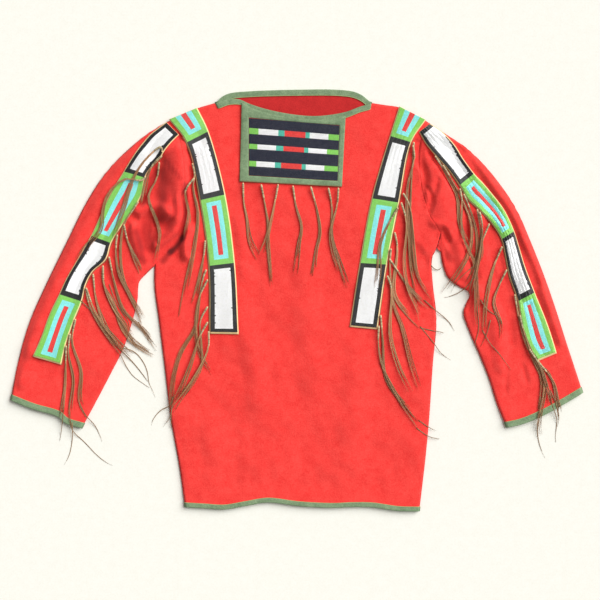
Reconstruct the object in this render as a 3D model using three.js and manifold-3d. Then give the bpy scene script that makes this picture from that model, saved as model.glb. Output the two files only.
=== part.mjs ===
import * as THREE from "three";
import { mergeVertices } from "three/addons/utils/BufferGeometryUtils.js";
import Module from "manifold-3d";

// A plains war shirt of red wool, laid out face up with its sleeves to both sides.
// Millimetres: x runs across the shirt, y from the hem up to the neck, z up from the surface.

const wasm = await Module();
wasm.setup();

// Walls and clearances
const CLOTH = 1.6;
const TAPE = 1.0;
const GAP = 0.3;
const SEAM_SETBACK = 0.25;
const TAPE_WRAP = TAPE + GAP;

// How high the upper layer lies over the lower one
const LOFT = 2.4;
const EDGE_ROUND = 16;
const BOUND_HEIGHT = 2 * (CLOTH + 2 * GAP + 2 * TAPE) + GAP - CLOTH - GAP - TAPE;
const BOUND_NEAR = 16;
const BOUND_FAR = 50;

// Tape bands
const BAND = 10.5;

// Beaded strips and bib
const HIDE = 1.4;
const HIDE_EDGE = 2.4;
const BEAD_VALLEY = 1.5;
const BEAD_CREST = 2.6;
const STRIP_LANES = 5;
const BIB_LANES = 7;
const BIB_BACKING = 1.2;

// Hair locks
const THONG_WIDTH = 2;
const THONG_OFFSET = 2.4;
const THONG_START = 1;
const THONG_SAMPLE = 12;
const ROOT_HALF = 1.1;
const ROOT_RUN = 1.6;
const HEAD_LENGTH = 40;
const HEAD_HALF = 2.4;
const HAIR_HALF = 3.4;
const TIP_HALF = 0.8;
const LOCK_HALF_HEIGHT = 1.1;
const LOCK_LIFT = 0.7;
const LOCK_LEVEL = 3;
const LOCK_FREE_FROM = 16;
const LOCK_STEP = 30;

// Body outline seen from above, columns: x, y
const SIDE = {
  left: [[-207, -391], [-219, -306], [-235, -222], [-249, -118], [-260, -34], [-269, 32], [-267, 72]],
  right: [[235, -399], [246, -306], [255, -222], [262, -118], [269, -34], [262, 34], [262, 84], [277, 124]],
};
const GUSSET = {
  left: [[-267, 72], [-240, 93], [-214, 118]],
  right: [[277, 124], [268, 141], [258, 160]],
};
const ARMHOLE = {
  left: [[-240, 341], [-220, 314], [-210, 270], [-207, 215], [-207, 160], [-214, 118]],
  right: [[254, 339], [239, 305], [236, 260], [244, 205], [258, 160]],
};
const HEM = [
  [-207, -391], [-170, -394], [-132, -397], [-90, -390], [-50, -385], [10, -390],
  [71, -394], [109, -393], [147, -393], [197, -400], [235, -399],
];
const SHOULDER = {
  left: [[-240, 341], [-216, 352], [-187, 365], [-150, 376]],
  right: [[146, 376], [172, 372], [199, 368], [227, 355], [254, 339]],
};
const NECK_FRONT = [
  [-150, 376], [-128, 384], [-104, 384], [-85, 376], [-58, 367], [-18, 358], [22, 353],
  [52, 353], [96, 360], [126, 371], [146, 376],
];
const NECK_BACK = [
  [-150, 376], [-138, 389], [-123, 396], [-85, 400], [-37, 402], [10, 403], [77, 403],
  [113, 399], [132, 390], [146, 376],
];

// Sleeve outline, from the shoulder and from the underarm to the cuff, columns: x, y
const SLEEVE = {
  left: {
    outer: [
      [-240, 341], [-275, 324], [-314, 294], [-358, 251], [-396, 194], [-438, 110], [-474, 34],
      [-506, -40], [-527, -116], [-541, -187],
    ],
    inner: [
      [-267, 72], [-282, 55], [-296, 38], [-300, 0], [-311, -42], [-326, -87], [-349, -133],
      [-373, -179], [-405, -239],
    ],
    cuff: [[-541, -187], [-497, -203], [-448, -218], [-434, -230], [-405, -239]],
  },
  right: {
    outer: [
      [254, 339], [288, 318], [326, 293], [360, 260], [390, 224], [421, 177], [447, 118],
      [472, 55], [493, -6], [516, -78], [531, -124], [546, -173],
    ],
    inner: [
      [277, 124], [283, 99], [287, 66], [304, 38], [330, 18], [320, -20], [332, -57],
      [352, -103], [370, -148], [385, -194], [404, -238],
    ],
    cuff: [[546, -173], [514, -192], [476, -213], [434, -231], [404, -238]],
  },
};

// Fractions of an edge's length at which its rows and columns lie
const ACROSS_SLEEVE = [0, 0.055, 0.14, 0.26, 0.38, 0.5, 0.62, 0.75, 0.88, 1];
const ALONG_SLEEVE = [0, 0.06, 0.13, 0.2, 0.27, 0.34, 0.41, 0.48, 0.55, 0.62, 0.69, 0.76, 0.83, 0.9, 0.97, 1];
const ALONG_GUSSET = [0, 0.5, 1];
const GUSSET_SHARE = 0.16;
const UP_SIDE = [0, 0.027, 0.09, 0.19, 0.29, 0.39, 0.49, 0.59, 0.69, 0.79, 0.89, 1];
const UP_SIDE_BACK = [0, 0.027, 0.1, 0.35, 0.68, 1];
const ACROSS_SHOULDER = [0, 0.07, 0.25, 0.6, 1];
const LEFT_SHARE = 0.19;
const RIGHT_SHARE = 0.21;
const ACROSS_NECK = [0, 0.07, 0.15, 0.25, 0.35, 0.45, 0.55, 0.65, 0.75, 0.85, 0.93, 1];

// The largest folds as soft ridges and troughs: rise, half width, path
const FOLDS = [
  { rise: -4, reach: 13, path: [[-217, 118], [-250, 92], [-284, 51]] },
  { rise: 5, reach: 17, path: [[-249, 209], [-243, 167]] },
  { rise: -2.5, reach: 12, path: [[-212, 314], [-242, 295]] },
  { rise: 7, reach: 26, path: [[-300, 272], [-332, 243], [-370, 184], [-408, 114], [-442, 45], [-474, -20], [-500, -91]] },
  { rise: 4, reach: 22, path: [[-500, -91], [-515, -150]] },
  { rise: -2.5, reach: 14, path: [[-370, 78], [-342, 36]] },
  { rise: -3, reach: 12, path: [[-442, -139], [-423, -209]] },
  { rise: -2.4, reach: 12, path: [[233, 105], [246, 76]] },
  { rise: 5, reach: 18, path: [[300, 92], [330, 118], [352, 160]] },
  { rise: -2.4, reach: 12, path: [[311, 302], [350, 243], [375, 203], [415, 144], [427, 110], [449, 68], [461, 34]] },
  { rise: 7, reach: 20, path: [[330, 277], [372, 228], [406, 180], [436, 118], [460, 60], [482, 0], [504, -68]] },
  { rise: 4, reach: 20, path: [[345, 20], [372, -10], [385, -60], [392, -120]] },
  { rise: -2.4, reach: 13, path: [[381, 51], [398, 0], [409, -42], [411, -80]] },
  { rise: -2.4, reach: 10, path: [[316, -19], [352, -6]] },
  { rise: -2, reach: 10, path: [[432, -122], [440, -150]] },
  { rise: 3.5, reach: 30, path: [[-107, 4], [-90, -55], [-75, -127], [-66, -186]] },
  { rise: 2, reach: 26, path: [[-107, 162], [-96, 53]] },
  { rise: 2.5, reach: 36, path: [[30, 160], [22, -20], [40, -180]] },
  { rise: 2.5, reach: 34, path: [[120, -90], [112, -300]] },
  { rise: 2.5, reach: 34, path: [[-150, -230], [-140, -350]] },
];

// Beaded strips, a row at each end of a colour block, columns: x, y of one edge, x, y of the other
const STRIPS = {
  body_left: [
    [-235, 342, -187, 365], [-204, 302, -165, 324], [-178, 193, -133, 204],
    [-161, 69, -115, 75], [-160, -60, -107, -61],
  ],
  body_right: [
    [199, 368, 247, 342], [182, 314, 220, 302], [148, 196, 197, 188],
    [125, 74, 174, 71], [106, -47, 156, -52],
  ],
  sleeve_left: [
    [-247, 337, -219, 316], [-282, 308, -254, 276], [-321, 248, -285, 229],
    [-384, 128, -351, 112], [-444, 15, -405, 1], [-493, -103, -441, -123],
  ],
  sleeve_right: [
    [235, 323, 258, 335], [311, 222, 341, 245], [393, 121, 417, 134],
    [425, 4, 456, 18], [463, -112, 497, -100],
  ],
};
const STRIP_STATIONS = 20;
const STRIP_SAMPLE = 9;

// Bib corners, columns: x, y; the top edge follows the neck tape
const BIB = {
  outline: {
    top: [[-100, 370], [-85, 362], [-58, 353], [-18, 344.5], [22, 340], [52, 340], [97, 347]],
    bottom: [[-104, 228], [90, 218]],
  },
  beads: { top: [[-86, 348], [85, 334]], bottom: [[-86, 240], [81, 230]] },
};
const BIB_STATIONS = 7;
const BIB_SAMPLE = 10;
const BIB_TAPE = [
  [[-99.5, 368], [-88, 361]], [[-103.5, 228.5], [-88, 238]],
  [[89.5, 218.5], [83, 228]], [[97, 345], [87, 342]],
];

// Hair locks, each from its root to its tip, rows of x, y
const LOCKS = {
  bib: [
    [[-98, 225], [-96, 190], [-90, 158], [-86, 122], [-71, 87]],
    [[-64, 222], [-55, 180], [-50, 148], [-50, 112], [-43, 23]],
    [[-32, 221], [-38, 184], [-45, 152], [-54, 112], [-67, 84]],
    [[-2, 219], [3, 182], [14, 142], [8, 108], [1, 46]],
    [[29, 217], [43, 173], [48, 131], [41, 99], [34, 42]],
    [[60, 216], [71, 180], [71, 122], [85, 76], [102, 25]],
    [[86, 215], [81, 184], [69, 133], [75, 95], [88, 59]],
  ],
  sleeve_left: [
    [[-223, 312], [-252, 293], [-280, 270], [-305, 232], [-324, 175], [-344, 116]],
    [[-244, 280], [-269, 258], [-282, 224], [-290, 182]],
    [[-248, 264], [-261, 234], [-276, 201], [-261, 154], [-254, 127], [-263, 72]],
    [[-276, 239], [-288, 230], [-320, 232], [-351, 205], [-362, 173], [-366, 137], [-394, 103], [-415, 68]],
    [[-294, 194], [-305, 175], [-324, 144], [-329, 82], [-320, 32], [-286, -32]],
    [[-320, 144], [-316, 116], [-305, 91], [-290, 51]],
    [[-354, 89], [-341, 38], [-324, -14], [-288, -51], [-259, -91]],
    [[-362, 76], [-362, 34], [-343, 0], [-327, -46], [-301, -80], [-264, -103]],
    [[-381, 55], [-377, 11], [-364, -32], [-341, -74], [-288, -110], [-265, -171]],
    [[-394, 30], [-387, -10], [-351, -68], [-328, -99], [-276, -162]],
    [[-415, -28], [-421, -74], [-404, -131], [-406, -186], [-385, -226], [-368, -262]],
    [[-429, -55], [-428, -95], [-419, -148], [-425, -201], [-421, -262], [-436, -310]],
    [[-434, -80], [-434, -127], [-440, -188], [-442, -239], [-449, -281]],
  ],
  body_left: [
    [[-203, 268], [-189, 241], [-193, 217], [-183, 171], [-189, 110], [-206, 30], [-216, -32]],
    [[-193, 234], [-206, 209], [-200, 165], [-206, 118]],
    [[-174, 118], [-172, 86], [-181, 42], [-191, -6]],
    [[-174, 66], [-172, 49], [-180, 4], [-189, -51], [-214, -93], [-231, -160], [-233, -215]],
    [[-172, 46], [-181, 6], [-187, -44], [-178, -99], [-154, -137]],
    [[-166, -6], [-178, -36], [-176, -82], [-176, -122], [-208, -171], [-231, -198]],
    [[-166, -34], [-180, -67], [-199, -125], [-221, -190], [-259, -209], [-273, -234]],
    [[-162, -53], [-164, -91], [-199, -158], [-233, -209], [-250, -239]],
  ],
  body_right: [
    [[233, 319], [225, 283], [221, 211], [218, 125], [225, 46], [235, -6]],
    [[218, 207], [218, 182], [226, 104], [235, 46], [261, 4]],
    [[198, 182], [178, 148], [162, 108], [159, 65], [155, 25]],
    [[195, 135], [195, 104], [189, 17], [206, -13], [248, -49], [300, -112]],
    [[183, 110], [181, 68], [187, 0], [205, -49], [220, -112], [238, -171]],
    [[178, 55], [183, 27], [181, -63], [199, -127], [221, -171]],
    [[166, -19], [168, -80], [172, -141], [197, -182], [231, -215], [272, -236]],
    [[159, -38], [159, -82], [166, -120], [200, -186], [231, -224], [271, -249]],
    [[212, 76], [221, 23], [250, -10], [290, -30], [305, -53]],
  ],
  sleeve_right: [
    [[251, 289], [275, 262], [290, 236], [308, 201], [313, 148], [337, 91]],
    [[275, 262], [297, 232], [318, 194], [335, 144], [329, 91], [280, 11]],
    [[314, 204], [333, 174], [345, 127], [344, 76], [326, 30]],
    [[341, 171], [352, 137], [345, 76], [307, 38], [297, 17]],
    [[361, 142], [352, 103], [344, 51], [345, -8], [343, -80], [345, -101]],
    [[383, 104], [376, 61], [362, -8], [370, -74], [419, -131]],
    [[398, 62], [389, 34], [377, 0], [390, -44], [390, -70]],
    [[415, 21], [421, -8], [434, -64], [455, -112], [472, -146], [466, -201], [472, -283], [480, -306]],
    [[427, -21], [430, -42], [447, -91], [474, -148], [463, -228], [468, -262]],
    [[455, -82], [466, -124], [485, -184], [498, -228], [498, -257]],
    [[466, -105], [489, -150], [497, -186], [506, -228]],
    [[398, 68], [371, 46], [322, 25], [266, 11]],
  ],
};

// Materials
const wool = new THREE.MeshStandardMaterial({ color: 0xe02a26, roughness: 0.95, metalness: 0 });
const tape = new THREE.MeshStandardMaterial({ color: 0x6f9b74, roughness: 0.85, metalness: 0 });
const hide = new THREE.MeshStandardMaterial({ color: 0xe8c78d, roughness: 0.9, metalness: 0 });
const beads = new THREE.MeshStandardMaterial({ color: 0x8fc466, roughness: 0.35, metalness: 0 });
const hair = new THREE.MeshStandardMaterial({ color: 0x8a6347, roughness: 0.6, metalness: 0 });

const shirt = new THREE.Group();

// Plane geometry
function mix(a, b, t) {
  return a + (b - a) * t;
}

function mixPoint(a, b, t) {
  return [mix(a[0], b[0], t), mix(a[1], b[1], t)];
}

function length2(a, b) {
  return Math.hypot(a[0] - b[0], a[1] - b[1]);
}

function smooth(t) {
  const s = Math.min(1, Math.max(0, t));
  return s * s * (3 - 2 * s);
}

function spline(rows) {
  const points = rows.map(([x, y]) => new THREE.Vector3(x, y, 0));
  return new THREE.CatmullRomCurve3(points, false, "centripetal");
}

function stations(rows, fractions) {
  const curve = spline(rows);
  return fractions.map((f) => {
    const p = curve.getPointAt(f);
    return [p.x, p.y];
  });
}

function evenly(count) {
  return Array.from({ length: count }, (_, i) => i / (count - 1));
}

function joined(...lists) {
  return lists.reduce((all, list) => all.concat(all.length ? list.slice(1) : list), []);
}

function shares(line) {
  const run = [0];
  for (let i = 1; i < line.length; i++) {
    run.push(run[i - 1] + length2(line[i - 1], line[i]));
  }
  return run.map((r) => r / run[run.length - 1]);
}

// Fills four edges with rows of points: rows run from near to far, columns from left to right
function filled(near, far, left, right) {
  const across = shares(near).map((s, i) => (s + shares(far)[i]) / 2);
  const up = shares(left).map((s, j) => (s + shares(right)[j]) / 2);
  const last = near.length - 1;
  return left.map((_, j) => near.map((_, i) => [0, 1].map((k) => {
    const [u, v] = [across[i], up[j]];
    const ruled = mix(near[i][k], far[i][k], v) + mix(left[j][k], right[j][k], u);
    return ruled - mix(mix(near[0][k], near[last][k], u), mix(far[0][k], far[last][k], u), v);
  })));
}

function segmentDistance(a, b, x, y) {
  const [dx, dy] = [b[0] - a[0], b[1] - a[1]];
  const t = Math.min(1, Math.max(0, ((x - a[0]) * dx + (y - a[1]) * dy) / (dx * dx + dy * dy)));
  return Math.hypot(x - a[0] - dx * t, y - a[1] - dy * t);
}

function lineDistance(line, x, y) {
  let nearest = Infinity;
  for (let i = 1; i < line.length; i++) {
    nearest = Math.min(nearest, segmentDistance(line[i - 1], line[i], x, y));
  }
  return nearest;
}

// Heights of the two layers
const fine = evenly(33);
const foldedEdges = [
  SIDE.left, SIDE.right, SHOULDER.left, SHOULDER.right,
  SLEEVE.left.outer, SLEEVE.left.inner, SLEEVE.right.outer, SLEEVE.right.inner,
].map((rows) => stations(rows, fine));
const boundEdges = [HEM, NECK_FRONT, SLEEVE.left.cuff, SLEEVE.right.cuff].map((rows) => stations(rows, fine));
const lowerBoundEdges = [HEM, NECK_BACK, SLEEVE.left.cuff, SLEEVE.right.cuff].map((rows) => stations(rows, fine));

function nearestOf(lines, x, y) {
  return Math.min(...lines.map((line) => lineDistance(line, x, y)));
}

function nearBound(lines, x, y) {
  return 1 - smooth((nearestOf(lines, x, y) - BOUND_NEAR) / (BOUND_FAR - BOUND_NEAR));
}

function foldHeight(x, y) {
  let height = 0;
  for (const { rise, reach, path } of FOLDS) {
    const d = lineDistance(path, x, y) / reach;
    height += d < 1 ? rise * (1 - d * d) ** 2 : 0;
  }
  return height;
}

function upperUnderside(x, y) {
  const d = Math.min(1, nearestOf(foldedEdges, x, y) / EDGE_ROUND);
  const rounded = Math.sqrt(1 - (1 - d) ** 2);
  const free = CLOTH + GAP + Math.max(0, (LOFT + foldHeight(x, y)) * rounded);
  return mix(free, Math.max(free, BOUND_HEIGHT), nearBound(boundEdges, x, y));
}

function lowerUnderside(x, y) {
  return TAPE_WRAP * nearBound(lowerBoundEdges, x, y);
}

// Closed meshes from rows of points
function closedMesh(name, positions, triangles, material) {
  const geometry = new THREE.BufferGeometry();
  geometry.setAttribute("position", new THREE.Float32BufferAttribute(positions, 3));
  geometry.setIndex(triangles);
  const merged = mergeVertices(geometry, 1e-3);
  faceOut(merged);
  merged.computeVertexNormals();
  const mesh = new THREE.Mesh(merged, material);
  mesh.name = name;
  return mesh;
}

function faceOut(geometry) {
  const p = geometry.attributes.position;
  const index = geometry.index.array;
  const corner = (i) => new THREE.Vector3().fromBufferAttribute(p, index[i]);
  let volume = 0;
  for (let i = 0; i < index.length; i += 3) {
    volume += corner(i).dot(corner(i + 1).cross(corner(i + 2)));
  }
  if (volume < 0) {
    for (let i = 0; i < index.length; i += 3) {
      [index[i + 1], index[i + 2]] = [index[i + 2], index[i + 1]];
    }
  }
}

// Joins an outer and an inner face of the same rows and columns into a wall
function wall(name, outer, inner, material, round) {
  const rows = outer.length;
  const columns = outer[0].length;
  const positions = [...outer.flat(), ...inner.flat()].flat();
  const triangles = [];
  const at = (side, j, i) => side * rows * columns + j * columns + (i % columns);
  const quad = (a, b, c, d) => triangles.push(a, b, c, a, c, d);
  const spans = round ? columns : columns - 1;
  for (let j = 0; j < rows - 1; j++) {
    for (let i = 0; i < spans; i++) {
      quad(at(0, j, i), at(0, j, i + 1), at(0, j + 1, i + 1), at(0, j + 1, i));
      quad(at(1, j, i), at(1, j + 1, i), at(1, j + 1, i + 1), at(1, j, i + 1));
    }
    if (!round) {
      quad(at(0, j, 0), at(0, j + 1, 0), at(1, j + 1, 0), at(1, j, 0));
      quad(at(0, j, columns - 1), at(1, j, columns - 1), at(1, j + 1, columns - 1), at(0, j + 1, columns - 1));
    }
  }
  for (let i = 0; i < spans; i++) {
    quad(at(0, 0, i), at(1, 0, i), at(1, 0, i + 1), at(0, 0, i + 1));
    quad(at(0, rows - 1, i), at(0, rows - 1, i + 1), at(1, rows - 1, i + 1), at(1, rows - 1, i));
  }
  return closedMesh(name, positions, triangles, material);
}

// Sweeps closed sections of equal point count; an open sweep gets its two end faces from capShape
function swept(name, sections, material, capShape) {
  const count = sections[0].length;
  const triangles = [];
  const spans = capShape ? sections.length - 1 : sections.length;
  for (let j = 0; j < spans; j++) {
    const near = j * count;
    const far = ((j + 1) % sections.length) * count;
    for (let i = 0; i < count; i++) {
      const k = (i + 1) % count;
      triangles.push(near + i, near + k, far + k, near + i, far + k, far + i);
    }
  }
  if (capShape) {
    const faces = THREE.ShapeUtils.triangulateShape(capShape.map(([x, y]) => new THREE.Vector2(x, y)), []);
    const turned = THREE.ShapeUtils.isClockWise(capShape.map(([x, y]) => new THREE.Vector2(x, y)));
    const last = (sections.length - 1) * count;
    for (const [a, b, c] of faces) {
      triangles.push(...(turned ? [a, b, c] : [a, c, b]));
      triangles.push(...(turned ? [last + a, last + c, last + b] : [last + a, last + b, last + c]));
    }
  }
  return closedMesh(name, sections.flat(2), triangles, material);
}

// Height map of what lies so far, to lay the next piece on
class Relief {
  constructor() {
    this.cell = 3;
    this.heights = new Map();
  }

  key(i, j) {
    return i * 4096 + j;
  }

  add(mesh) {
    const p = mesh.geometry.attributes.position;
    const index = mesh.geometry.index.array;
    for (let t = 0; t < index.length; t += 3) {
      const [a, b, c] = [0, 1, 2].map((k) => new THREE.Vector3().fromBufferAttribute(p, index[t + k]));
      this.cover(a, b, c);
    }
  }

  cover(a, b, c) {
    const area = (b.x - a.x) * (c.y - a.y) - (c.x - a.x) * (b.y - a.y);
    const low = (k) => Math.floor(Math.min(a[k], b[k], c[k]) / this.cell);
    const high = (k) => Math.ceil(Math.max(a[k], b[k], c[k]) / this.cell);
    for (let i = low("x"); i <= high("x"); i++) {
      for (let j = low("y"); j <= high("y"); j++) {
        const [x, y] = [i * this.cell, j * this.cell];
        const wb = ((x - a.x) * (c.y - a.y) - (c.x - a.x) * (y - a.y)) / area;
        const wc = ((b.x - a.x) * (y - a.y) - (x - a.x) * (b.y - a.y)) / area;
        if (Math.abs(area) > 1e-6 && wb >= 0 && wc >= 0 && wb + wc <= 1) {
          const z = a.z * (1 - wb - wc) + b.z * wb + c.z * wc;
          this.heights.set(this.key(i, j), Math.max(z, this.heights.get(this.key(i, j)) ?? 0));
        }
      }
    }
  }

  over(x, y, radius) {
    let top = 0;
    const steps = Math.ceil(radius / this.cell);
    const [ci, cj] = [Math.round(x / this.cell), Math.round(y / this.cell)];
    for (let i = ci - steps; i <= ci + steps; i++) {
      for (let j = cj - steps; j <= cj + steps; j++) {
        const inside = Math.hypot(i * this.cell - x, j * this.cell - y) <= radius + this.cell;
        top = inside ? Math.max(top, this.heights.get(this.key(i, j)) ?? 0) : top;
      }
    }
    return top;
  }
}

const relief = new Relief();

// Moves the first point of a line a little towards the second
function setBack(from, towards, distance) {
  return mixPoint(from, towards, distance / length2(from, towards));
}

// Body panels
function bodyPlan(neck, upSide) {
  const edge = (side) => joined(
    stations(SIDE[side], upSide),
    stations(GUSSET[side], ALONG_GUSSET),
    stations(ARMHOLE[side], ACROSS_SLEEVE).reverse(),
  );
  const across = joined(
    ACROSS_SHOULDER.map((f) => f * LEFT_SHARE),
    ACROSS_NECK.map((f) => mix(LEFT_SHARE, 1 - RIGHT_SHARE, f)),
    ACROSS_SHOULDER.map((f) => 1 - f * RIGHT_SHARE).reverse(),
  );
  const top = joined(
    stations(SHOULDER.left, ACROSS_SHOULDER),
    stations(neck, ACROSS_NECK),
    stations(SHOULDER.right, ACROSS_SHOULDER.map((f) => 1 - f).reverse()),
  );
  const plan = filled(stations(HEM, across), top, edge("left"), edge("right"));
  const last = plan[0].length - 1;
  const sideRows = upSide.length - 1;
  const inset = plan.map((row) => row.slice());
  plan.forEach((row, j) => {
    if (j >= sideRows) {
      inset[j][0] = setBack(row[0], row[1], SEAM_SETBACK);
      inset[j][last] = setBack(row[last], row[last - 1], SEAM_SETBACK);
    }
  });
  const neckFrom = ACROSS_SHOULDER.length - 1;
  const neckTo = last - neckFrom;
  const topRow = plan.length - 1;
  for (let i = 0; i <= last; i++) {
    inset[0][i] = setBack(inset[0][i], inset[1][i], TAPE_WRAP);
    if (i >= neckFrom && i <= neckTo) {
      inset[topRow][i] = setBack(inset[topRow][i], inset[topRow - 1][i], TAPE_WRAP);
    }
  }
  return { plan: inset, neckFrom, neckTo };
}

function raised(plan, height, thickness) {
  const upper = plan.map((row) => row.map(([x, y]) => [x, y, height(x, y) + thickness]));
  const lower = upper.map((row) => row.map(([x, y, z]) => [x, y, z - thickness]));
  return [upper, lower];
}

const front = bodyPlan(NECK_FRONT, UP_SIDE);
const back = bodyPlan(NECK_BACK, UP_SIDE_BACK);
const [frontUpper, frontLower] = raised(front.plan, upperUnderside, CLOTH);
const [backUpper, backLower] = raised(back.plan, lowerUnderside, CLOTH);
shirt.add(wall("front_panel", frontUpper, frontLower, wool, false));
shirt.add(wall("back_panel", backUpper, backLower, wool, false));

// Tape folded over an edge: edge and inside are stations of the upper and lower face of the cloth
function tapeSection(edgeUpper, insideUpper, edgeLower, insideLower) {
  const run = length2(edgeUpper, insideUpper);
  const at = (upper, distance, height) => {
    const [edge, inside] = upper ? [edgeUpper, insideUpper] : [edgeLower, insideLower];
    const t = distance / run;
    const z = distance > 0 ? mix(edge[2], inside[2], t) : edge[2];
    return [mix(edge[0], inside[0], t), mix(edge[1], inside[1], t), z + height];
  };
  return [
    at(true, -TAPE_WRAP, TAPE_WRAP), at(true, BAND, TAPE_WRAP), at(true, BAND, GAP), at(true, -GAP, GAP),
    at(false, -GAP, -GAP), at(false, BAND, -GAP), at(false, BAND, -TAPE_WRAP), at(false, -TAPE_WRAP, -TAPE_WRAP),
  ];
}

const TAPE_SHAPE = [[0, 4], [9, 4], [9, 3], [1, 3], [1, 1], [9, 1], [9, 0], [0, 0]];

function boundEdge(name, upper, lower, row, inward, from, to) {
  const sections = [];
  for (let i = from; i <= to; i++) {
    sections.push(tapeSection(upper[row][i], upper[row + inward][i], lower[row][i], lower[row + inward][i]));
  }
  return swept(name, sections, tape, TAPE_SHAPE);
}

const lastColumn = frontUpper[0].length - 1;
const frontTop = frontUpper.length - 1;
const backTop = backUpper.length - 1;
shirt.add(boundEdge("hem_binding_front", frontUpper, frontLower, 0, 1, 0, lastColumn));
shirt.add(boundEdge("hem_binding_back", backUpper, backLower, 0, 1, 0, lastColumn));
shirt.add(boundEdge("neck_binding_front", frontUpper, frontLower, frontTop, -1, front.neckFrom, front.neckTo));
shirt.add(boundEdge("neck_binding_back", backUpper, backLower, backTop, -1, back.neckFrom, back.neckTo));

// Sleeves: rings from the armhole to the cuff, pressed flat
function sleevePlan(side) {
  const { outer, inner, cuff } = SLEEVE[side];
  const outerEdge = stations(outer, joined(
    ALONG_GUSSET.map((f) => f * GUSSET_SHARE),
    ALONG_SLEEVE.map((f) => GUSSET_SHARE + f * (1 - GUSSET_SHARE)),
  ));
  const innerEdge = joined(
    stations(GUSSET[side], ALONG_GUSSET).reverse(),
    stations(inner, ALONG_SLEEVE),
  );
  const armhole = stations(ARMHOLE[side], ACROSS_SLEEVE);
  const plan = filled(armhole, stations(cuff, ACROSS_SLEEVE), outerEdge, innerEdge);
  const last = plan[0].length - 1;
  const end = plan.length - 1;
  const set = plan.map((row) => row.slice());
  for (let i = 0; i <= last; i++) {
    set[0][i] = setBack(plan[0][i], plan[1][i], SEAM_SETBACK);
    set[end][i] = setBack(plan[end][i], plan[end - 1][i], TAPE_WRAP);
  }
  for (let j = 0; j < ALONG_GUSSET.length; j++) {
    set[j][last] = setBack(set[j][last], set[j][last - 1], SEAM_SETBACK);
  }
  return set;
}

function sleeveRings(plan) {
  const outer = [];
  const inner = [];
  for (const row of plan) {
    const last = row.length - 1;
    const hollow = row.slice();
    hollow[0] = setBack(row[0], row[1], CLOTH);
    hollow[last] = setBack(row[last], row[last - 1], CLOTH);
    const top = row.map(([x, y]) => [x, y, upperUnderside(x, y) + CLOTH]);
    const base = row.map(([x, y]) => [x, y, lowerUnderside(x, y)]).reverse();
    outer.push([...top, ...base]);
    inner.push([
      ...hollow.map(([x, y], i) => [x, y, top[i][2] - CLOTH]),
      ...hollow.slice().reverse().map(([x, y], i) => [x, y, base[i][2] + CLOTH]),
    ]);
  }
  return [outer, inner];
}

function cuffTape(name, outer, inner) {
  const end = outer.length - 1;
  const sections = outer[end].map((edge, i) => {
    const [face, within] = [new THREE.Vector3(...edge), new THREE.Vector3(...inner[end][i])];
    const outward = face.clone().sub(within).normalize();
    const along = new THREE.Vector3(...outer[end - 1][i]).sub(face);
    const run = Math.hypot(along.x, along.y);
    const at = (base, height, distance) => {
      const slide = distance > 0 ? along.clone() : new THREE.Vector3(along.x, along.y, 0);
      return base.clone().addScaledVector(outward, height).addScaledVector(slide, distance / run).toArray();
    };
    return [
      at(face, TAPE_WRAP, -TAPE_WRAP), at(face, TAPE_WRAP, BAND), at(face, GAP, BAND), at(face, GAP, -GAP),
      at(within, -GAP, -GAP), at(within, -GAP, BAND), at(within, -TAPE_WRAP, BAND), at(within, -TAPE_WRAP, -TAPE_WRAP),
    ];
  });
  for (const section of sections) {
    for (const point of section) {
      point[2] = Math.max(0, point[2]);
    }
  }
  return swept(name, sections, tape, null);
}

for (const side of ["left", "right"]) {
  const [outer, inner] = sleeveRings(sleevePlan(side));
  shirt.add(wall(`sleeve_${side}`, outer, inner, wool, true));
  shirt.add(cuffTape(`cuff_binding_${side}`, outer, inner));
}
shirt.children.forEach((mesh) => relief.add(mesh));

// Beaded strips: stiff across, following the cloth lengthwise
function levelLine(a, b, radius) {
  const samples = evenly(9).map((t) => mixPoint(a, b, t));
  const heights = samples.map(([x, y]) => relief.over(x, y, radius));
  const ends = [heights[0], heights[heights.length - 1]];
  const excess = Math.max(...heights.map((z, i) => z - mix(ends[0], ends[1], i / (heights.length - 1))));
  return ends.map((z) => z + excess + GAP);
}

function stripStations(rows) {
  const fractions = evenly(STRIP_STATIONS);
  const edge = (k) => {
    const curve = spline(rows.map((row) => [row[k], row[k + 1]]));
    return fractions.map((f) => curve.getPoint(f)).map((p) => [p.x, p.y]);
  };
  const [first, second] = [edge(0), edge(2)];
  const levels = first.map((a, i) => levelLine(a, second[i], STRIP_SAMPLE));
  const [low, high] = [0, 1].map((k) => eased(levels.map((pair) => pair[k])));
  return first.map((a, i) => ({ a, b: second[i], heights: [low[i], high[i]] }));
}

// Smooths heights along a strip without letting any of them fall
function eased(heights) {
  const around = (list, i) => [i - 1, i, i + 1].map((k) => list[Math.min(list.length - 1, Math.max(0, k))]);
  const widened = heights.map((_, i) => Math.max(...around(heights, i)));
  return widened.map((_, i) => around(widened, i).reduce((sum, z) => sum + z, 0) / 3);
}

function plateSection({ a, b, heights }, from, to, base, thickness) {
  const width = length2(a, b);
  const at = (t, z) => [...mixPoint(a, b, t), mix(heights[0], heights[1], t) + z];
  const [t0, t1] = [from / width, 1 - to / width];
  return [at(t0, base), at(t1, base), at(t1, base + thickness), at(t0, base + thickness)];
}

function laneSection({ a, b, heights }, margin, base, lanes) {
  const width = length2(a, b);
  const edge = margin / width;
  const at = (t, z) => {
    const place = mix(edge, 1 - edge, t);
    return [...mixPoint(a, b, place), mix(heights[0], heights[1], place) + z];
  };
  const crests = Array.from({ length: 2 * lanes + 1 }, (_, i) => {
    const height = i % 2 ? BEAD_CREST : BEAD_VALLEY;
    return at(i / (2 * lanes), base + height);
  });
  return [at(1, base), at(0, base), ...crests];
}

function laneShape(lanes) {
  const crests = Array.from({ length: 2 * lanes + 1 }, (_, i) => [i, i % 2 ? 3 : 2]);
  return [[2 * lanes, 0], [0, 0], ...crests];
}

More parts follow.
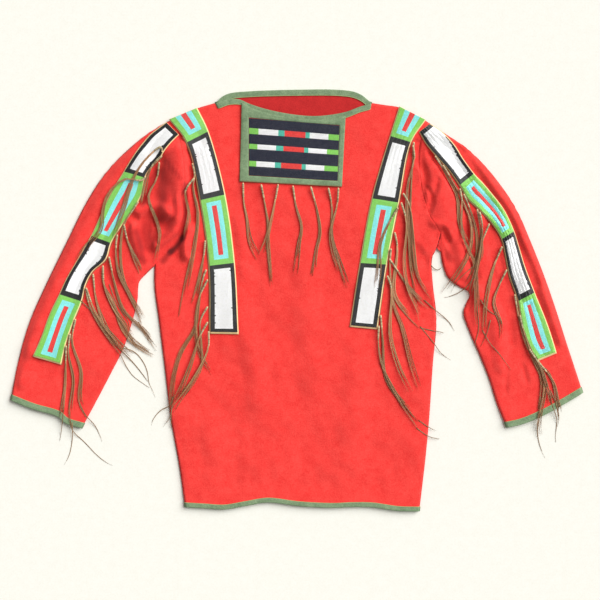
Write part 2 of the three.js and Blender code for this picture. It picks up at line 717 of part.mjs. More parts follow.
const PLATE_SHAPE = [[0, 0], [4, 0], [4, 1], [0, 1]];

for (const [place, rows] of Object.entries(STRIPS)) {
  const line = stripStations(rows);
  const plates = line.map((s) => plateSection(s, 0, 0, 0, HIDE));
  const lanes = line.map((s) => laneSection(s, HIDE_EDGE, HIDE + GAP, STRIP_LANES));
  shirt.add(swept(`strip_${place}_hide`, plates, hide, PLATE_SHAPE));
  shirt.add(swept(`strip_${place}_beads`, lanes, beads, laneShape(STRIP_LANES)));
}

// Bib: a stiff flat panel just above the highest cloth under it
const bibCover = stations(BIB.outline.bottom, evenly(9)).flatMap((low, i) => {
  const high = stations(BIB.outline.top, evenly(9))[i];
  return evenly(7).map((v) => mixPoint(low, high, v));
});
const bibLevel = Math.max(...bibCover.map(([x, y]) => relief.over(x, y, BIB_SAMPLE))) + GAP;

function bibStations({ top, bottom }) {
  const fractions = evenly(BIB_STATIONS);
  const [upper, lower] = [stations(top, fractions), stations(bottom, fractions)];
  return lower.map((a, i) => ({ a, b: upper[i], heights: [bibLevel, bibLevel] }));
}

const bibPlates = bibStations(BIB.outline).map((s) => plateSection(s, 0, 0, 0, BIB_BACKING));
const bibLanes = bibStations(BIB.beads).map((s) => laneSection(s, 0, BIB_BACKING + GAP, BIB_LANES));
const bibTape = BIB_TAPE.map(([outside, inside]) => {
  const low = bibLevel + BIB_BACKING + GAP;
  return [[...outside, low], [...inside, low], [...inside, low + TAPE], [...outside, low + TAPE]];
});
shirt.add(swept("bib_backing", bibPlates, wool, PLATE_SHAPE));
shirt.add(swept("bib_beadwork", bibLanes, beads, laneShape(BIB_LANES)));
shirt.add(swept("bib_binding", bibTape, tape, PLATE_SHAPE));

// Hair locks hang from a narrow thong beside each strip and below the bib
const clothRelief = new Relief();
shirt.children.filter((mesh) => !/^(strip|bib)/.test(mesh.name)).forEach((mesh) => clothRelief.add(mesh));
shirt.children.filter((mesh) => /^(strip|bib)/.test(mesh.name)).forEach((mesh) => relief.add(mesh));

function solidOf(mesh) {
  const p = mesh.geometry.attributes.position;
  return new wasm.Manifold(new wasm.Mesh({
    numProp: 3,
    vertProperties: new Float32Array(p.array),
    triVerts: new Uint32Array(mesh.geometry.index.array),
  }));
}

function beside(line, offset) {
  return line.map((p, i) => {
    const [a, b] = [line[Math.max(0, i - 1)], line[Math.min(line.length - 1, i + 1)]];
    const run = length2(a, b);
    return [p[0] - ((b[1] - a[1]) / run) * offset, p[1] + ((b[0] - a[0]) / run) * offset];
  });
}

function thong(line) {
  const half = THONG_WIDTH / 2;
  const [left, right] = [beside(line, half), beside(line, -half)];
  return line.map(([x, y], i) => {
    const low = clothRelief.over(x, y, THONG_SAMPLE) + GAP;
    const high = low + THONG_WIDTH;
    return [[...left[i], low], [...right[i], low], [...right[i], high], [...left[i], high]];
  });
}

function nearestOn(line, point) {
  let best = line[0];
  for (let i = 1; i < line.length; i++) {
    for (const t of evenly(9)) {
      const p = mixPoint(line[i - 1], line[i], t);
      best = length2(p, point) < length2(best, point) ? p : best;
    }
  }
  return best;
}

const laidLocks = [];

function freeLevel(path) {
  const clear = (other) => path.every((p) => other.path.every((q) => length2(p, q) > 2 * HAIR_HALF + 1));
  for (let level = 0; ; level++) {
    if (laidLocks.filter((other) => other.level === level).every(clear)) {
      laidLocks.push({ path, level });
      return level;
    }
  }
}

function lock(rows, line) {
  const root = nearestOn(line, rows[0]);
  const curve = spline([root, ...rows.slice(1)]);
  const run = curve.getLength();
  const steps = Math.round(run / LOCK_STEP);
  const path = evenly(steps + 1).map((f) => curve.getPointAt(f)).map((p) => [p.x, p.y]);
  const dense = evenly(6 * steps).map((f) => curve.getPointAt(f)).map((p) => [p.x, p.y]);
  const level = freeLevel(dense.filter((_, i) => i / dense.length > LOCK_FREE_FROM / run));
  const widthAt = (distance) => {
    const hairShare = (distance - HEAD_LENGTH) / (run - HEAD_LENGTH);
    return distance < HEAD_LENGTH ? HEAD_HALF : mix(HAIR_HALF, TIP_HALF, hairShare);
  };
  const under = path.slice(1).map((to, i) => {
    return Math.max(...evenly(9).map((t) => relief.over(...mixPoint(path[i], to, t), HAIR_HALF + 2)));
  });
  const restHeight = (i) => {
    const highest = Math.max(under[Math.max(0, i - 1)], under[Math.min(steps - 1, i)]);
    return highest + LOCK_LIFT + LOCK_HALF_HEIGHT + LOCK_LEVEL * level;
  };
  const section = ([x, y], direction, width, z) => [
    [x - direction[1] * width, y + direction[0] * width, z],
    [x, y, z + LOCK_HALF_HEIGHT],
    [x + direction[1] * width, y - direction[0] * width, z],
    [x, y, z - LOCK_HALF_HEIGHT],
  ];
  const heading = (i) => {
    const [from, to] = [path[Math.max(0, i - 1)], path[Math.min(steps, i + 1)]];
    return [(to[0] - from[0]) / length2(from, to), (to[1] - from[1]) / length2(from, to)];
  };
  const foot = clothRelief.over(root[0], root[1], THONG_SAMPLE) + GAP + THONG_WIDTH / 2;
  const risen = setBack(path[0], path[1], ROOT_RUN);
  const sections = [
    section(path[0], heading(0), ROOT_HALF, foot),
    section(risen, heading(0), ROOT_HALF, restHeight(0)),
    ...path.slice(1).map((p, i) => section(p, heading(i + 1), widthAt(((i + 1) / steps) * run), restHeight(i + 1))),
  ];
  return swept("strand", sections, hair, PLATE_SHAPE);
}

function lockRow(name, line, paths) {
  const pieces = [swept("thong", thong(line), hide, PLATE_SHAPE), ...paths.map((rows) => lock(rows, line))];
  const solid = pieces.map(solidOf).reduce((all, next) => all.add(next));
  const { vertProperties, triVerts } = solid.getMesh();
  return closedMesh(name, Array.from(vertProperties), Array.from(triVerts), hair);
}

function stripEdge(rows, k, offset) {
  const line = stations(rows.map((row) => [row[k], row[k + 1]]), evenly(12));
  return beside(line, offset).slice(THONG_START);
}

const thongLines = {
  bib: beside(stations(BIB.outline.bottom, evenly(4)), -THONG_OFFSET),
  sleeve_left: stripEdge(STRIPS.sleeve_left, 2, THONG_OFFSET),
  body_left: stripEdge(STRIPS.body_left, 0, -THONG_OFFSET),
  body_right: stripEdge(STRIPS.body_right, 2, THONG_OFFSET),
  sleeve_right: stripEdge(STRIPS.sleeve_right, 0, -THONG_OFFSET),
};
for (const [place, line] of Object.entries(thongLines)) {
  shirt.add(lockRow(`locks_${place}`, line, LOCKS[place]));
}

export default shirt;
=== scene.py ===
import itertools
import math

import bpy
import numpy as np
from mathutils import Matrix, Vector
from mathutils.bvhtree import BVHTree


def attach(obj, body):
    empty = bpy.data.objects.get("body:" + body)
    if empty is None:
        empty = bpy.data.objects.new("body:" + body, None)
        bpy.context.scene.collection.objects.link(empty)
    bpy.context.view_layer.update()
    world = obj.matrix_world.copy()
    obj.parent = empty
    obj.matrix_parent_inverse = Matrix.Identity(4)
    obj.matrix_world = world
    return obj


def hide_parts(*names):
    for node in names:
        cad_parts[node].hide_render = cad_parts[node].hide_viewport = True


# A plains war shirt of red wool laid flat, seen from straight above. Lengths are in millimetres
# until a mesh is made: x runs across the shirt, y from the hem to the neck, z up from the floor.
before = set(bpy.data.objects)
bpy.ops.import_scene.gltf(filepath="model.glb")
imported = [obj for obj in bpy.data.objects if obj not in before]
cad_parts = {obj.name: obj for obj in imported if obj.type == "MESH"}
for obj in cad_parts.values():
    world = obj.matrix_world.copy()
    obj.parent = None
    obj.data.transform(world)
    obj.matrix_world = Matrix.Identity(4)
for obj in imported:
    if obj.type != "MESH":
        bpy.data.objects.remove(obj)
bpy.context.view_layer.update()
random = np.random.default_rng(11)
MM = 0.001
UP = np.array([0, 0, 1])
LEVEL = np.array([1, 1, 0])

# Walls and clearances
CLOTH = 1.6
TAPE = 1.0
GAP = 0.3
TAPE_WRAP = TAPE + GAP
BAND = 10.5
HEM_NARROWER = 2.4
HIDE = 1.4
SEAM_SETBACK = 0.15

# Height of the upper layer, free and at a taped edge, and the round of a folded edge
FREE_TOP = 5.9
PRESSED_TOP = 3.5
BOUND_TOP = 7.4
FOLD_ROUND = 3.5
FOLD_FADE = 11
MEET_FREE = 2.95
MEET_BOUND = 4.35
BOUND_NEAR = 16
BOUND_FAR = 50
SEAM_DIP = 0.7
SEAM_REACH = 2.2
# Painted shade in the deep creases: the most it takes off, and the powers that keep it redder
DARKEST_PAINTED_SHADE = 0.85
PAINTED_SHADE_POWERS = np.array([1, 1.9, 1.9])

# Outline of the body and sleeves seen from above, as in the CAD part: x, y of each point
SIDE = {
    "left": (-206, -389, -218, -306, -233, -222, -245.5, -118, -256, -34, -264.5, 32, -264, 72),
    "right": (
        235, -397, 246, -306, 254, -222, 261, -118, 268, -34, 261, 34, 259, 70, 261, 87, 266, 97,
        272, 112, 277, 130,
    ),
}
GUSSET = {
    "left": (-264, 72, -240, 93, -214, 118),
    "right": (277, 130, 268, 145, 258, 160),
}
ARMHOLE = {
    "left": (-240, 341, -220, 314, -210, 270, -207, 215, -207, 160, -214, 118),
    "right": (254, 339, 239, 305, 236, 260, 244, 205, 258, 160),
}
HEM = (
    -206, -389, -170, -391, -132, -393, -90, -386, -50, -380, 10, -387, 71, -390, 109, -388.5, 147, -389,
    197, -396, 235, -397,
)
SHOULDER = {
    "left": (-240, 341, -216, 352, -187, 365, -150, 376),
    "right": (146, 376, 172, 372, 199, 368, 227, 355, 254, 339),
}
NECK_FRONT = (
    -150, 376, -128, 384, -104, 384, -85, 376, -58, 367, -18, 358, 22, 353, 52, 353, 96, 360, 126, 371,
    146, 376,
)
NECK_BACK = (
    -150, 376, -138, 389, -123, 396, -85, 400, -37, 402, 10, 403, 77, 403, 113, 399, 132, 390, 146, 376,
)
SLEEVE = {
    "left": {
        "outer": (
            -240, 341, -272.5, 322.5, -310, 292.5, -353, 249.5, -391, 193, -433, 109, -470, 33,
            -502, -40, -523.5, -116, -537, -187,
        ),
        "inner": (
            -264, 72, -282, 55, -296, 38, -300, 0, -311, -42, -326, -87, -349, -133, -373, -179,
            -405, -239,
        ),
        "cuff": (-537, -187, -497, -203, -448, -218, -434, -230, -405, -239),
    },
    "right": {
        "outer": (
            254, 339, 287, 317, 325, 292, 359, 259, 388.5, 223, 419.5, 176.5, 445.5, 117.5, 470.5, 54.5,
            492, -6.5, 515, -78.5, 530, -124, 545.5, -173,
        ),
        "inner": (
            277, 130, 275.5, 114, 271, 101, 278, 96, 280, 86, 283, 70, 291, 49, 308, 33, 333, 17,
            322, -20, 334, -57, 354, -103, 371.5, -148, 386, -194, 404, -238,
        ),
        "cuff": (545.5, -173, 514, -192, 476, -213, 434, -231, 404, -238),
    },
}
GUSSET_SHARE = 0.16
LEFT_SHARE = 0.19
RIGHT_SHARE = 0.21

# Folds of the upper layer: rise, reach to each side, then x, y of each point of the path
FOLDS = [
    (-4, 13, -217, 118, -250, 92, -284, 51),
    (5, 17, -249, 209, -243, 167),
    (-2.5, 12, -212, 314, -242, 295),
    (7, 26, -300, 272, -332, 243, -370, 184, -408, 114, -442, 45, -474, -20, -500, -91),
    (4, 22, -500, -91, -515, -150),
    (-2.5, 14, -370, 78, -342, 36),
    (-3, 12, -442, -139, -423, -209),
    (-2.4, 12, 233, 105, 246, 76),
    (5, 18, 300, 92, 330, 118, 352, 160),
    (-2.4, 12, 311, 302, 350, 243, 375, 203, 415, 144, 427, 110, 449, 68, 461, 34),
    (7, 20, 330, 277, 372, 228, 406, 180, 436, 118, 460, 60, 482, 0, 504, -68),
    (4, 20, 345, 20, 372, -10, 385, -60, 392, -120),
    (-2.4, 13, 381, 51, 398, 0, 409, -42, 411, -80),
    (-2.4, 10, 316, -19, 352, -6),
    (-2, 10, 432, -122, 440, -150),
    (3.5, 30, -107, 4, -90, -55, -75, -127, -66, -186),
    (2, 26, -107, 162, -96, 53),
    (2.5, 36, 30, 160, 22, -20, 40, -180),
    (2.5, 34, 120, -90, 112, -300),
    (2.5, 34, -150, -230, -140, -350),
    (-3.0, 7, -217, 118, -250, 92, -284, 51),
    (-2.2, 8, -231, 201, -227, 167),
    (-2.2, 9, -208, 209, -210, 167, -214, 125),
    (-1.4, 7, -212, 314, -242, 294),
    (-2.0, 13, -362, 76, -347, 38),
    (-1.6, 9, -316, 148, -305, 194),
    (-1.6, 6, -442, -139, -432, -175, -423, -209),
    (-1.8, 7, 248, 203, 240, 192),
    (-2.2, 8, 295, 104, 314, 118),
    (-2.0, 8, 233, 104, 246, 76),
    (-2.4, 8, 238, -2, 254, -10),
    (-1.8, 7, 316, -19, 352, -6),
    (-1.8, 8, 311, 302, 351, 243, 375, 203, 398, 179, 415, 144, 427, 110, 449, 68, 461, 34),
    (-1.5, 7, 366, 137, 381, 51, 398, 0, 409, -42, 411, -80),
    (-1.5, 7, 432, -122, 440, -150),
    (-1.5, 8, 402, -116, 400, -171),
    (1.2, 14, -107, 162, -96, 53),
    (-1.0, 13, -71, 165, -69, 23),
    (0.6, 18, -170, -370, -162, -285, -166, -224),
    (-0.6, 15, -138, -376, -132, -304),
    (0.5, 16, -98, -376, -92, -291, -98, -243),
    (-0.6, 17, -50, -384, -47, -304),
    (0.6, 18, -5, -390, -7, -300, -1, -243),
    (-0.5, 15, 45, -391, 41, -319),
    (0.7, 19, 90, -391, 86, -291, 92, -224),
    (-0.6, 16, 136, -388, 128, -315),
    (0.5, 15, 176, -391, 174, -304),
    (-0.5, 14, 208, -393, 206, -338),
    (15.0, 38, -222, 282, -220, 240, -220, 200, -224, 166),
    (-9.0, 15, -199, 285, -194, 230, -196, 160),
    (-5.0, 14, -256, 268, -262, 238, -270, 214),
    (-12.0, 9, -276, 236, -283, 212, -292, 188),
    (-9.0, 12, -281, 152, -284, 128, -276, 102),
    (-14.0, 9, -210, 204, -209, 160, -213, 128),
    (4.0, 9, -236, 300, -246, 284),
    (9.0, 14, -296, 170, -274, 181, -252, 179, -238, 168),
    (-7.0, 10, -262, 150, -246, 146, -234, 156),
    (8.0, 13, -309, 150, -302, 118, -292, 90),
    (3.5, 9, -258, 132, -262, 108),
    (13.0, 13, -200, 136, -206, 112, -205, 88),
    (8.0, 12, -226, 134, -248, 116, -266, 104),
    (-16.0, 11, -220, 118, -234, 104, -252, 92),
    (-8.0, 9, -300, 160, -326, 130, -346, 88),
    (-12.0, 9, -226, 106, -220, 88),
    (7.0, 42, 268, 250, 276, 210, 290, 160),
    (-8.0, 10, 232, 300, 238, 268, 248, 238, 240, 204),
    (-7.0, 8, 258, 280, 278, 252, 300, 216, 322, 182),
    (-7.0, 9, 268, 122, 280, 137, 290, 116),
    (-5.0, 9, 326, 140, 334, 96, 346, 48),
    (-5.0, 9, 372, 138, 384, 92, 396, 44, 410, -20),
    (4.0, 16, 300, 140, 314, 96, 324, 52),
    (-4.0, 7, 254, 214, 262, 190, 256, 172),
    (-3.5, 6, 255, 184, 266, 206, 272, 232),
    (2.6, 11, 262, 150, 283, 141, 296, 124),
    (-2.2, 8, 268, 221, 256, 196, 240, 186),
    (2.4, 12, 222, 160, 228, 120, 246, 96),
    (-2.4, 9, 300, 150, 318, 138, 330, 96),
]

# Painted shade in the creases of the left armpit, too deep for the light: share of the light lost, reach,
# path
PAINTED_CREASE_SHADE = [
    (0.8, 9, -213, 121, -224, 105, -235, 95),
    (0.45, 10, -235, 95, -249, 78),
    (0.45, 10, -301, 134, -292, 104, -286, 76),
    (0.35, 9, -226, 190, -224, 168),
    (0.12, 10, -227, 160, -235, 146, -243, 141),
    (0.3, 15, -251, 247, -248, 222, -246, 195),
    (0.4, 12, -288, 192, -272, 226, -262, 250),
    (0.5, 9, -207, 222, -206, 184, -208, 146, -212, 122),
    (0.3, 7, -243, 268, -227, 247, -213, 233),
    (0.25, 12, -265, 160, -240, 157),
    (0.25, 22, -286, 142, -280, 108),
    (0.16, 42, -232, 262, -250, 190, -262, 120),
]

# Shallow troughs where the lower layer stands clear of the floor: rise, reach, path
UNDER_FOLDS = [
    (1.2, 20, -110, 250, -96, 110, -120, -60),
    (1.0, 24, 60, 300, 84, 120, 70, -120, 96, -260),
    (1.1, 18, 190, 200, 210, 40),
    (0.9, 22, -40, -60, -30, -290),
    (1.2, 16, -330, 200, -390, 90, -440, -60),
    (1.1, 16, 330, 220, 400, 90, 450, -60),
    (0.9, 14, -300, 120, -350, 0),
    (0.9, 14, 330, 80, 370, -60),
]

# Low waves all over the cloth: height, wavelength, bearing in degrees, phase
RUMPLE = [
    (0.85, 148, 12, 0.4),
    (0.70, 96, 74, 2.1),
    (0.45, 61, 131, 4.0),
    (0.22, 37, 38, 1.2),
    (0.12, 23, 100, 5.2),
]


def srgb(red, green, blue):
    """Linear colour of an 8-bit sRGB one."""
    shares = [value / 255 for value in (red, green, blue)]
    return tuple(s / 12.92 if s <= 0.04045 else ((s + 0.055) / 1.055) ** 2.4 for s in shares)


# Plane geometry
def mix(a, b, t):
    return a + (b - a) * t


def smooth(t):
    s = np.clip(t, 0, 1)
    return s * s * (3 - 2 * s)


SPLINE_STEPS = 24


def spline(rows):
    """Dense points of a centripetal Catmull-Rom curve through x, y of each point of rows."""
    p = np.reshape(np.array(rows, float), (-1, 2))
    p = np.vstack([2 * p[0] - p[1], p, 2 * p[-1] - p[-2]])
    t = np.arange(SPLINE_STEPS)[:, None] / SPLINE_STEPS
    out = []
    for a, b, c, d in zip(p, p[1:], p[2:], p[3:]):
        before, span, after = (max(1e-4, math.sqrt(np.linalg.norm(v))) for v in (b - a, c - b, d - c))
        start = ((b - a) / before - (c - a) / (before + span) + (c - b) / span) * span
        end = ((c - b) / span - (d - b) / (span + after) + (d - c) / after) * span
        square = (3 * (c - b) - 2 * start - end) * t**2
        cube = (2 * (b - c) + start + end) * t**3
        out.append(b + start * t + square + cube)
    return np.vstack([*out, p[-2:-1]])


def runs(line):
    """Distance of each point along a line from its start."""
    return np.concatenate([[0], np.cumsum(np.linalg.norm(np.diff(line, axis=0), axis=1))])


def length(line):
    return runs(line)[-1]


def picked(line, at, places):
    """Points of a line at some places, where at holds the place of each of its own points."""
    return np.column_stack([np.interp(places, at, column) for column in line.T])


def along(line, fractions):
    """Points of a line at fractions of its length."""
    return picked(line, runs(line) / length(line), fractions)


def stations(rows, fractions):
    return along(spline(rows), fractions)


def by_row(rows, places):
    """Points of the curve through rows at places counted in rows."""
    line = spline(rows)
    return picked(line, np.arange(len(line)) / SPLINE_STEPS, places)


def offset(line, distance):
    """A line moved to its left; distance is one number or one for each point."""
    direction = np.gradient(line, axis=0)
    direction /= np.linalg.norm(direction, axis=1)[:, None]
    normal = np.column_stack([-direction[:, 1], direction[:, 0]])
    return line + normal * np.reshape(distance, (-1, 1))


def filled(near, far, left, right):
    """Rows of points from near to far that fill four edges."""
    near_far = (runs(near) / length(near) + runs(far) / length(far)) / 2
    left_right = (runs(left) / length(left) + runs(right) / length(right)) / 2
    across, up = near_far[None, :, None], left_right[:, None, None]
    ruled = mix(near[None], far[None], up) + mix(left[:, None], right[:, None], across)
    corners = mix(mix(near[0], near[-1], across), mix(far[0], far[-1], across), up)
    return ruled - corners


def distance_to(lines, points):
    """Distance of each point to the nearest of the lines."""
    nearest = np.full(len(points), 1e9)
    for line in lines:
        for a, b in zip(line, line[1:]):
            d = b - a
            t = np.clip((points - a) @ d / (d @ d), 0, 1)
            nearest = np.minimum(nearest, np.hypot(*(points - a - t[:, None] * d).T))
    return nearest


# Heights of the two layers
def traced(*edges):
    return [stations(rows, np.linspace(0, 1, 33)) for rows in edges]


cuffs = [parts["cuff"] for parts in SLEEVE.values()]
sleeve_edges = [parts[edge] for parts in SLEEVE.values() for edge in ("outer", "inner")]
folded_edges = traced(*SIDE.values(), *SHOULDER.values(), *sleeve_edges)
upper_bound = traced(HEM, NECK_FRONT, *cuffs)
lower_bound = traced(HEM, NECK_BACK, *cuffs)
seams = traced(*ARMHOLE.values(), *GUSSET.values())


def fold_height(folds, points):
    height = np.zeros(len(points))
    for rise, reach, *path in folds:
        d = np.minimum(1, distance_to([spline(path)[::4]], points) / reach)
        height += rise * (1 - d * d) ** 2
    return height


def painted_crease_shade(points):
    """Painted shade of the deep creases: shares of its red, green and blue that the upper layer keeps
    there.
    """
    kept = 1 - np.minimum(DARKEST_PAINTED_SHADE, fold_height(PAINTED_CREASE_SHADE, points[:, :2]))
    return np.where(points[:, 2:] > MEET_FREE, kept[:, None] ** PAINTED_SHADE_POWERS, 1)


def rumple(points):
    height = np.zeros(len(points))
    for size, wave, bearing, phase in RUMPLE:
        angle = math.radians(bearing)
        run = points @ np.array([math.cos(angle), math.sin(angle)])
        drift = points @ np.array([-math.sin(angle), math.cos(angle)])
        height += size * np.sin(run * 2 * math.pi / wave + phase + 1.1 * np.sin(drift / wave * 1.7 + phase))
    return height


def near_bound(lines, points):
    return 1 - smooth((distance_to(lines, points) - BOUND_NEAR) / (BOUND_FAR - BOUND_NEAR))


def edge_fade(points):
    return smooth(distance_to(folded_edges, points) / FOLD_FADE)


def rounded(face, points, clearance):
    """A layer's face brought to where the layers meet over the round of a folded edge."""
    meet = mix(MEET_FREE, MEET_BOUND, near_bound(upper_bound, points)) + clearance
    d = np.minimum(1, distance_to(folded_edges, points) / FOLD_ROUND)
    return meet + (face - meet) * np.sqrt(1 - (1 - d) ** 2)


def upper_top(points):
    """Top of the upper layer."""
    seam = 1 - np.minimum(1, distance_to(seams, points) / SEAM_REACH)
    rise = (fold_height(FOLDS, points) + rumple(points)) * edge_fade(points)
    free = np.maximum(PRESSED_TOP, FREE_TOP + rise - SEAM_DIP * seam**2)
    top = mix(free, np.maximum(free, BOUND_TOP), near_bound(upper_bound, points))
    return rounded(top, points, GAP / 2)


def lower_base(points):
    """Underside of the lower layer."""
    free = fold_height(UNDER_FOLDS, points) * edge_fade(points)
    return rounded(mix(free, TAPE_WRAP, near_bound(lower_bound, points)), points, -GAP / 2)


def lift(height, plan):
    """Rows of points with a height from a function of their plan."""
    flat = plan.reshape(-1, 2)
    return np.column_stack([flat, height(flat)]).reshape(*plan.shape[:2], 3)


# Meshes
def unit(vectors):
    return vectors / np.maximum(1e-9, np.linalg.norm(vectors, axis=-1))[..., None]


def grid_normals(points):
    """Unit normals of rows of points, upward."""
    down, across = np.gradient(points, axis=0), np.gradient(points, axis=1)
    normal = unit(np.cross(across, down))
    return normal * np.where(normal[..., 2:] < 0, -1, 1)


def grid_faces(rows, columns, round_columns=False, round_rows=False):
    down = np.arange(rows if round_rows else rows - 1)
    across = np.arange(columns if round_columns else columns - 1)
    j, i = np.meshgrid(down, across, indexing="ij")
    k, m = (i + 1) % columns, (j + 1) % rows
    return np.stack([j * columns + i, j * columns + k, m * columns + k, m * columns + i], -1).reshape(-1, 4)


class Pile:
    """Collects parts of one mesh, with a colour for each vertex if the mesh has one."""

    def __init__(self):
        self.points = []
        self.faces = []
        self.colours = []
        self.count = 0

    def add(self, points, faces, colours=None):
        points = np.reshape(points, (-1, 3))
        self.faces.extend((np.asarray(f) + self.count).tolist() for f in faces)
        self.points.append(points)
        if colours is not None:
            self.colours.append(np.broadcast_to(colours, (len(points), 3)))
        self.count += len(points)

    def made(self, name, material, slot, node=None):
        """The piece on the one body, in place of a CAD node if it has one."""
        mesh = bpy.data.meshes.new(name)
        mesh.from_pydata((np.vstack(self.points) * MM).tolist(), [], self.faces)
        mesh.polygons.foreach_set("use_smooth", [True] * len(mesh.polygons))
        if self.colours:
            paint = mesh.color_attributes.new("paint", "FLOAT_COLOR", "POINT")
            colours = np.vstack(self.colours)
            paint.data.foreach_set("color", np.column_stack([colours, np.ones(len(colours))]).ravel())
        mesh.materials.append(material)
        made = bpy.data.objects.new(name, mesh)
        bpy.context.scene.collection.objects.link(made)
        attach(made, "root")
        if node:
            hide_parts(node)
        return made


def solid(name, material, slot, node, points, faces, colours=None):
    """A piece of one closed mesh."""
    pile = Pile()
    pile.add(points, faces, colours)
    return pile.made(name, material, slot, node)


def shell(outer, inner, round_columns=False):
    """Points and faces of a closed wall between two grids of the same size."""
    rows, columns = outer.shape[:2]
    size = rows * columns
    faces = grid_faces(rows, columns, round_columns)
    rims = [np.arange(columns), (rows - 1) * columns + np.arange(columns)[::-1]]
    if round_columns:
        rims = [np.append(rims[0], 0), np.append(rims[1], (rows - 1) * columns + columns - 1)]
    else:
        rims += [np.arange(rows)[::-1] * columns, np.arange(rows) * columns + columns - 1]
    walls = [np.stack([r[1:], r[:-1], r[:-1] + size, r[1:] + size], -1) for r in rims]
    points = np.vstack([outer.reshape(-1, 3), inner.reshape(-1, 3)])
    return points, [*faces, *(faces[:, ::-1] + size), *np.vstack(walls)]


def sweep(sections, closed=False):
    """Points and faces of a tube of equal sections, capped unless it closes on itself."""
    count, sides = sections.shape[:2]
    faces = list(grid_faces(count, sides, True, closed))
    if not closed:
        faces += [np.arange(sides)[::-1], (count - 1) * sides + np.arange(sides)]
    return sections.reshape(-1, 3), faces


def cable(points, radius, sides=6, flatness=1.0):
    """A round tube along points, with one radius or one for each point."""
    direction = unit(np.gradient(points, axis=0))
    side = unit(np.cross(direction, UP))
    up = np.cross(side, direction)
    turn = np.arange(sides)[None, :, None] * 2 * math.pi / sides
    ring = side[:, None] * np.cos(turn) + up[:, None] * (np.sin(turn) * flatness)
    return sweep(points[:, None] + ring * np.reshape(radius, (-1, 1, 1)))


# Materials
def fill(node, inputs):
    """Gives each input of a node a value, or the output of another node."""
    for socket, value in inputs.items():
        if isinstance(value, bpy.types.NodeSocket):
            node.id_data.links.new(value, node.inputs[socket])
        else:
            node.inputs[socket].default_value = value


def output(made, kind, inputs, name, **settings):
    """The output of a new node of a material."""
    node = made.node_tree.nodes.new(f"ShaderNode{kind}")
    for key, value in settings.items():
        setattr(node, key, value)
    fill(node, inputs)
    return node.outputs[name]


def principled(name, inputs):
    made = bpy.data.materials.new(name)
    made.use_nodes = True
    shader = made.node_tree.nodes["Principled BSDF"]
    fill(shader, inputs)
    return made, shader


def paint_of(made):
    return output(made, "Attribute", {}, "Color", attribute_name="paint")


FINE_SHARE = 1.1


def cloth_material(name, lit, shaded, grain, bump, mottle, inputs, painted_shade=False):
    """Cloth of two colours mixed by soft noise, with a fine raised grain, and painted shade in its creases
    if asked.
    """
    made, shader = principled(name, inputs)
    place = output(made, "TexCoord", {}, "Object")
    soft = {"Vector": place, "Scale": 65, "Detail": 8, "Roughness": 0.68}
    broad = output(made, "TexNoise", soft, "Fac")
    fine = output(made, "TexNoise", {"Vector": place, "Scale": grain, "Detail": 4}, "Fac")
    level = 0.5 - 0.5 * (mottle + FINE_SHARE)
    weight = output(made, "Math", {0: broad, 1: mottle, 2: level}, 0, operation="MULTIPLY_ADD")
    total = output(made, "Math", {0: fine, 1: FINE_SHARE, 2: weight}, 0, operation="MULTIPLY_ADD")
    blend = {"Factor": total, "A": (*shaded, 1), "B": (*lit, 1)}
    colour = output(made, "Mix", blend, "Result", data_type="RGBA")
    # Painted shade: the colour multiplied by the mesh's paint, which is dark in the deep creases
    if painted_shade:
        painted_shade_mix = {"Factor": 1, "A": colour, "B": paint_of(made)}
        colour = output(made, "Mix", painted_shade_mix, "Result", data_type="RGBA", blend_type="MULTIPLY")
    raised = output(made, "Bump", {"Height": fine, "Strength": bump, "Distance": 0.0006}, "Normal")
    fill(shader, {"Base Color": colour, "Normal": raised})
    return made


def painted_material(name, inputs):
    """Takes its colour from the mesh's own paint."""
    made, shader = principled(name, inputs)
    fill(shader, {"Base Color": paint_of(made)})
    return made


WOOL = {"Roughness": 0.92, "Sheen Weight": 0.08, "Sheen Roughness": 0.6}
WOOL_INSIDE = {"Roughness": 0.95, "Sheen Weight": 0.05, "Sheen Roughness": 0.6}
# Plain wool, and the same wool with painted shade in its deep creases
wool, wool_with_painted_shade = (
    cloth_material(name, srgb(254, 75, 66), srgb(226, 22, 18), 420, 0.9, 1.1, WOOL, painted_shade)
    for name, painted_shade in (("wool", False), ("wool_with_painted_shade", True))
)
# Darker wool for the inside of the back panel, seen through the neck: painted shade for the shadow inside
# the neck
wool_inside_painted_shade = cloth_material(
    "wool_inside_painted_shade", srgb(213, 38, 37), srgb(172, 13, 17), 420, 0.9, 1.1, WOOL_INSIDE
)
tape = cloth_material("tape", srgb(147, 172, 131), srgb(86, 110, 78), 500, 1.0, 1.4, {"Roughness": 0.8})
hide = cloth_material("hide", srgb(250, 222, 170), srgb(228, 190, 128), 700, 0.4, 1.0, {"Roughness": 0.85})
floor_cloth = cloth_material(
    "floor_cloth", srgb(246, 246, 238), srgb(238, 235, 224), 300, 0.1, 1.0, {"Roughness": 0.95}
)
beads = painted_material("beads", {"Roughness": 0.32, "Coat Weight": 0.08, "Coat Roughness": 0.12})
bead_bed = painted_material("bead_bed", {"Roughness": 0.8})
hair = painted_material("hair", {"Roughness": 0.55})


# Cloth panels
EDGE_STEPS = np.array([0, 0.35, 0.9, 1.7, 2.7])
FIRST_STEP = 3.9
CLOTH_STEP = 3.7
HIDDEN_STEP = 6.5


def edge_fractions(run, near=True, far=True, step=CLOTH_STEP):
    """Fractions of a run, with closer steps at the ends that fold over."""
    start = EDGE_STEPS / run if near else np.array([])
    end = 1 - EDGE_STEPS[::-1] / run if far else np.array([])
    low = FIRST_STEP / run if near else 0
    high = 1 - FIRST_STEP / run if far else 1
    return np.concatenate([start, np.linspace(low, high, max(2, round(run * (high - low) / step))), end])


def joined(*lines):
    return np.vstack([lines[0], *(line[1:] for line in lines[1:])])


def trimmed(line, distance):
    """A line without its first millimetres."""
    return along(line, np.linspace(distance / length(line), 1, 200))


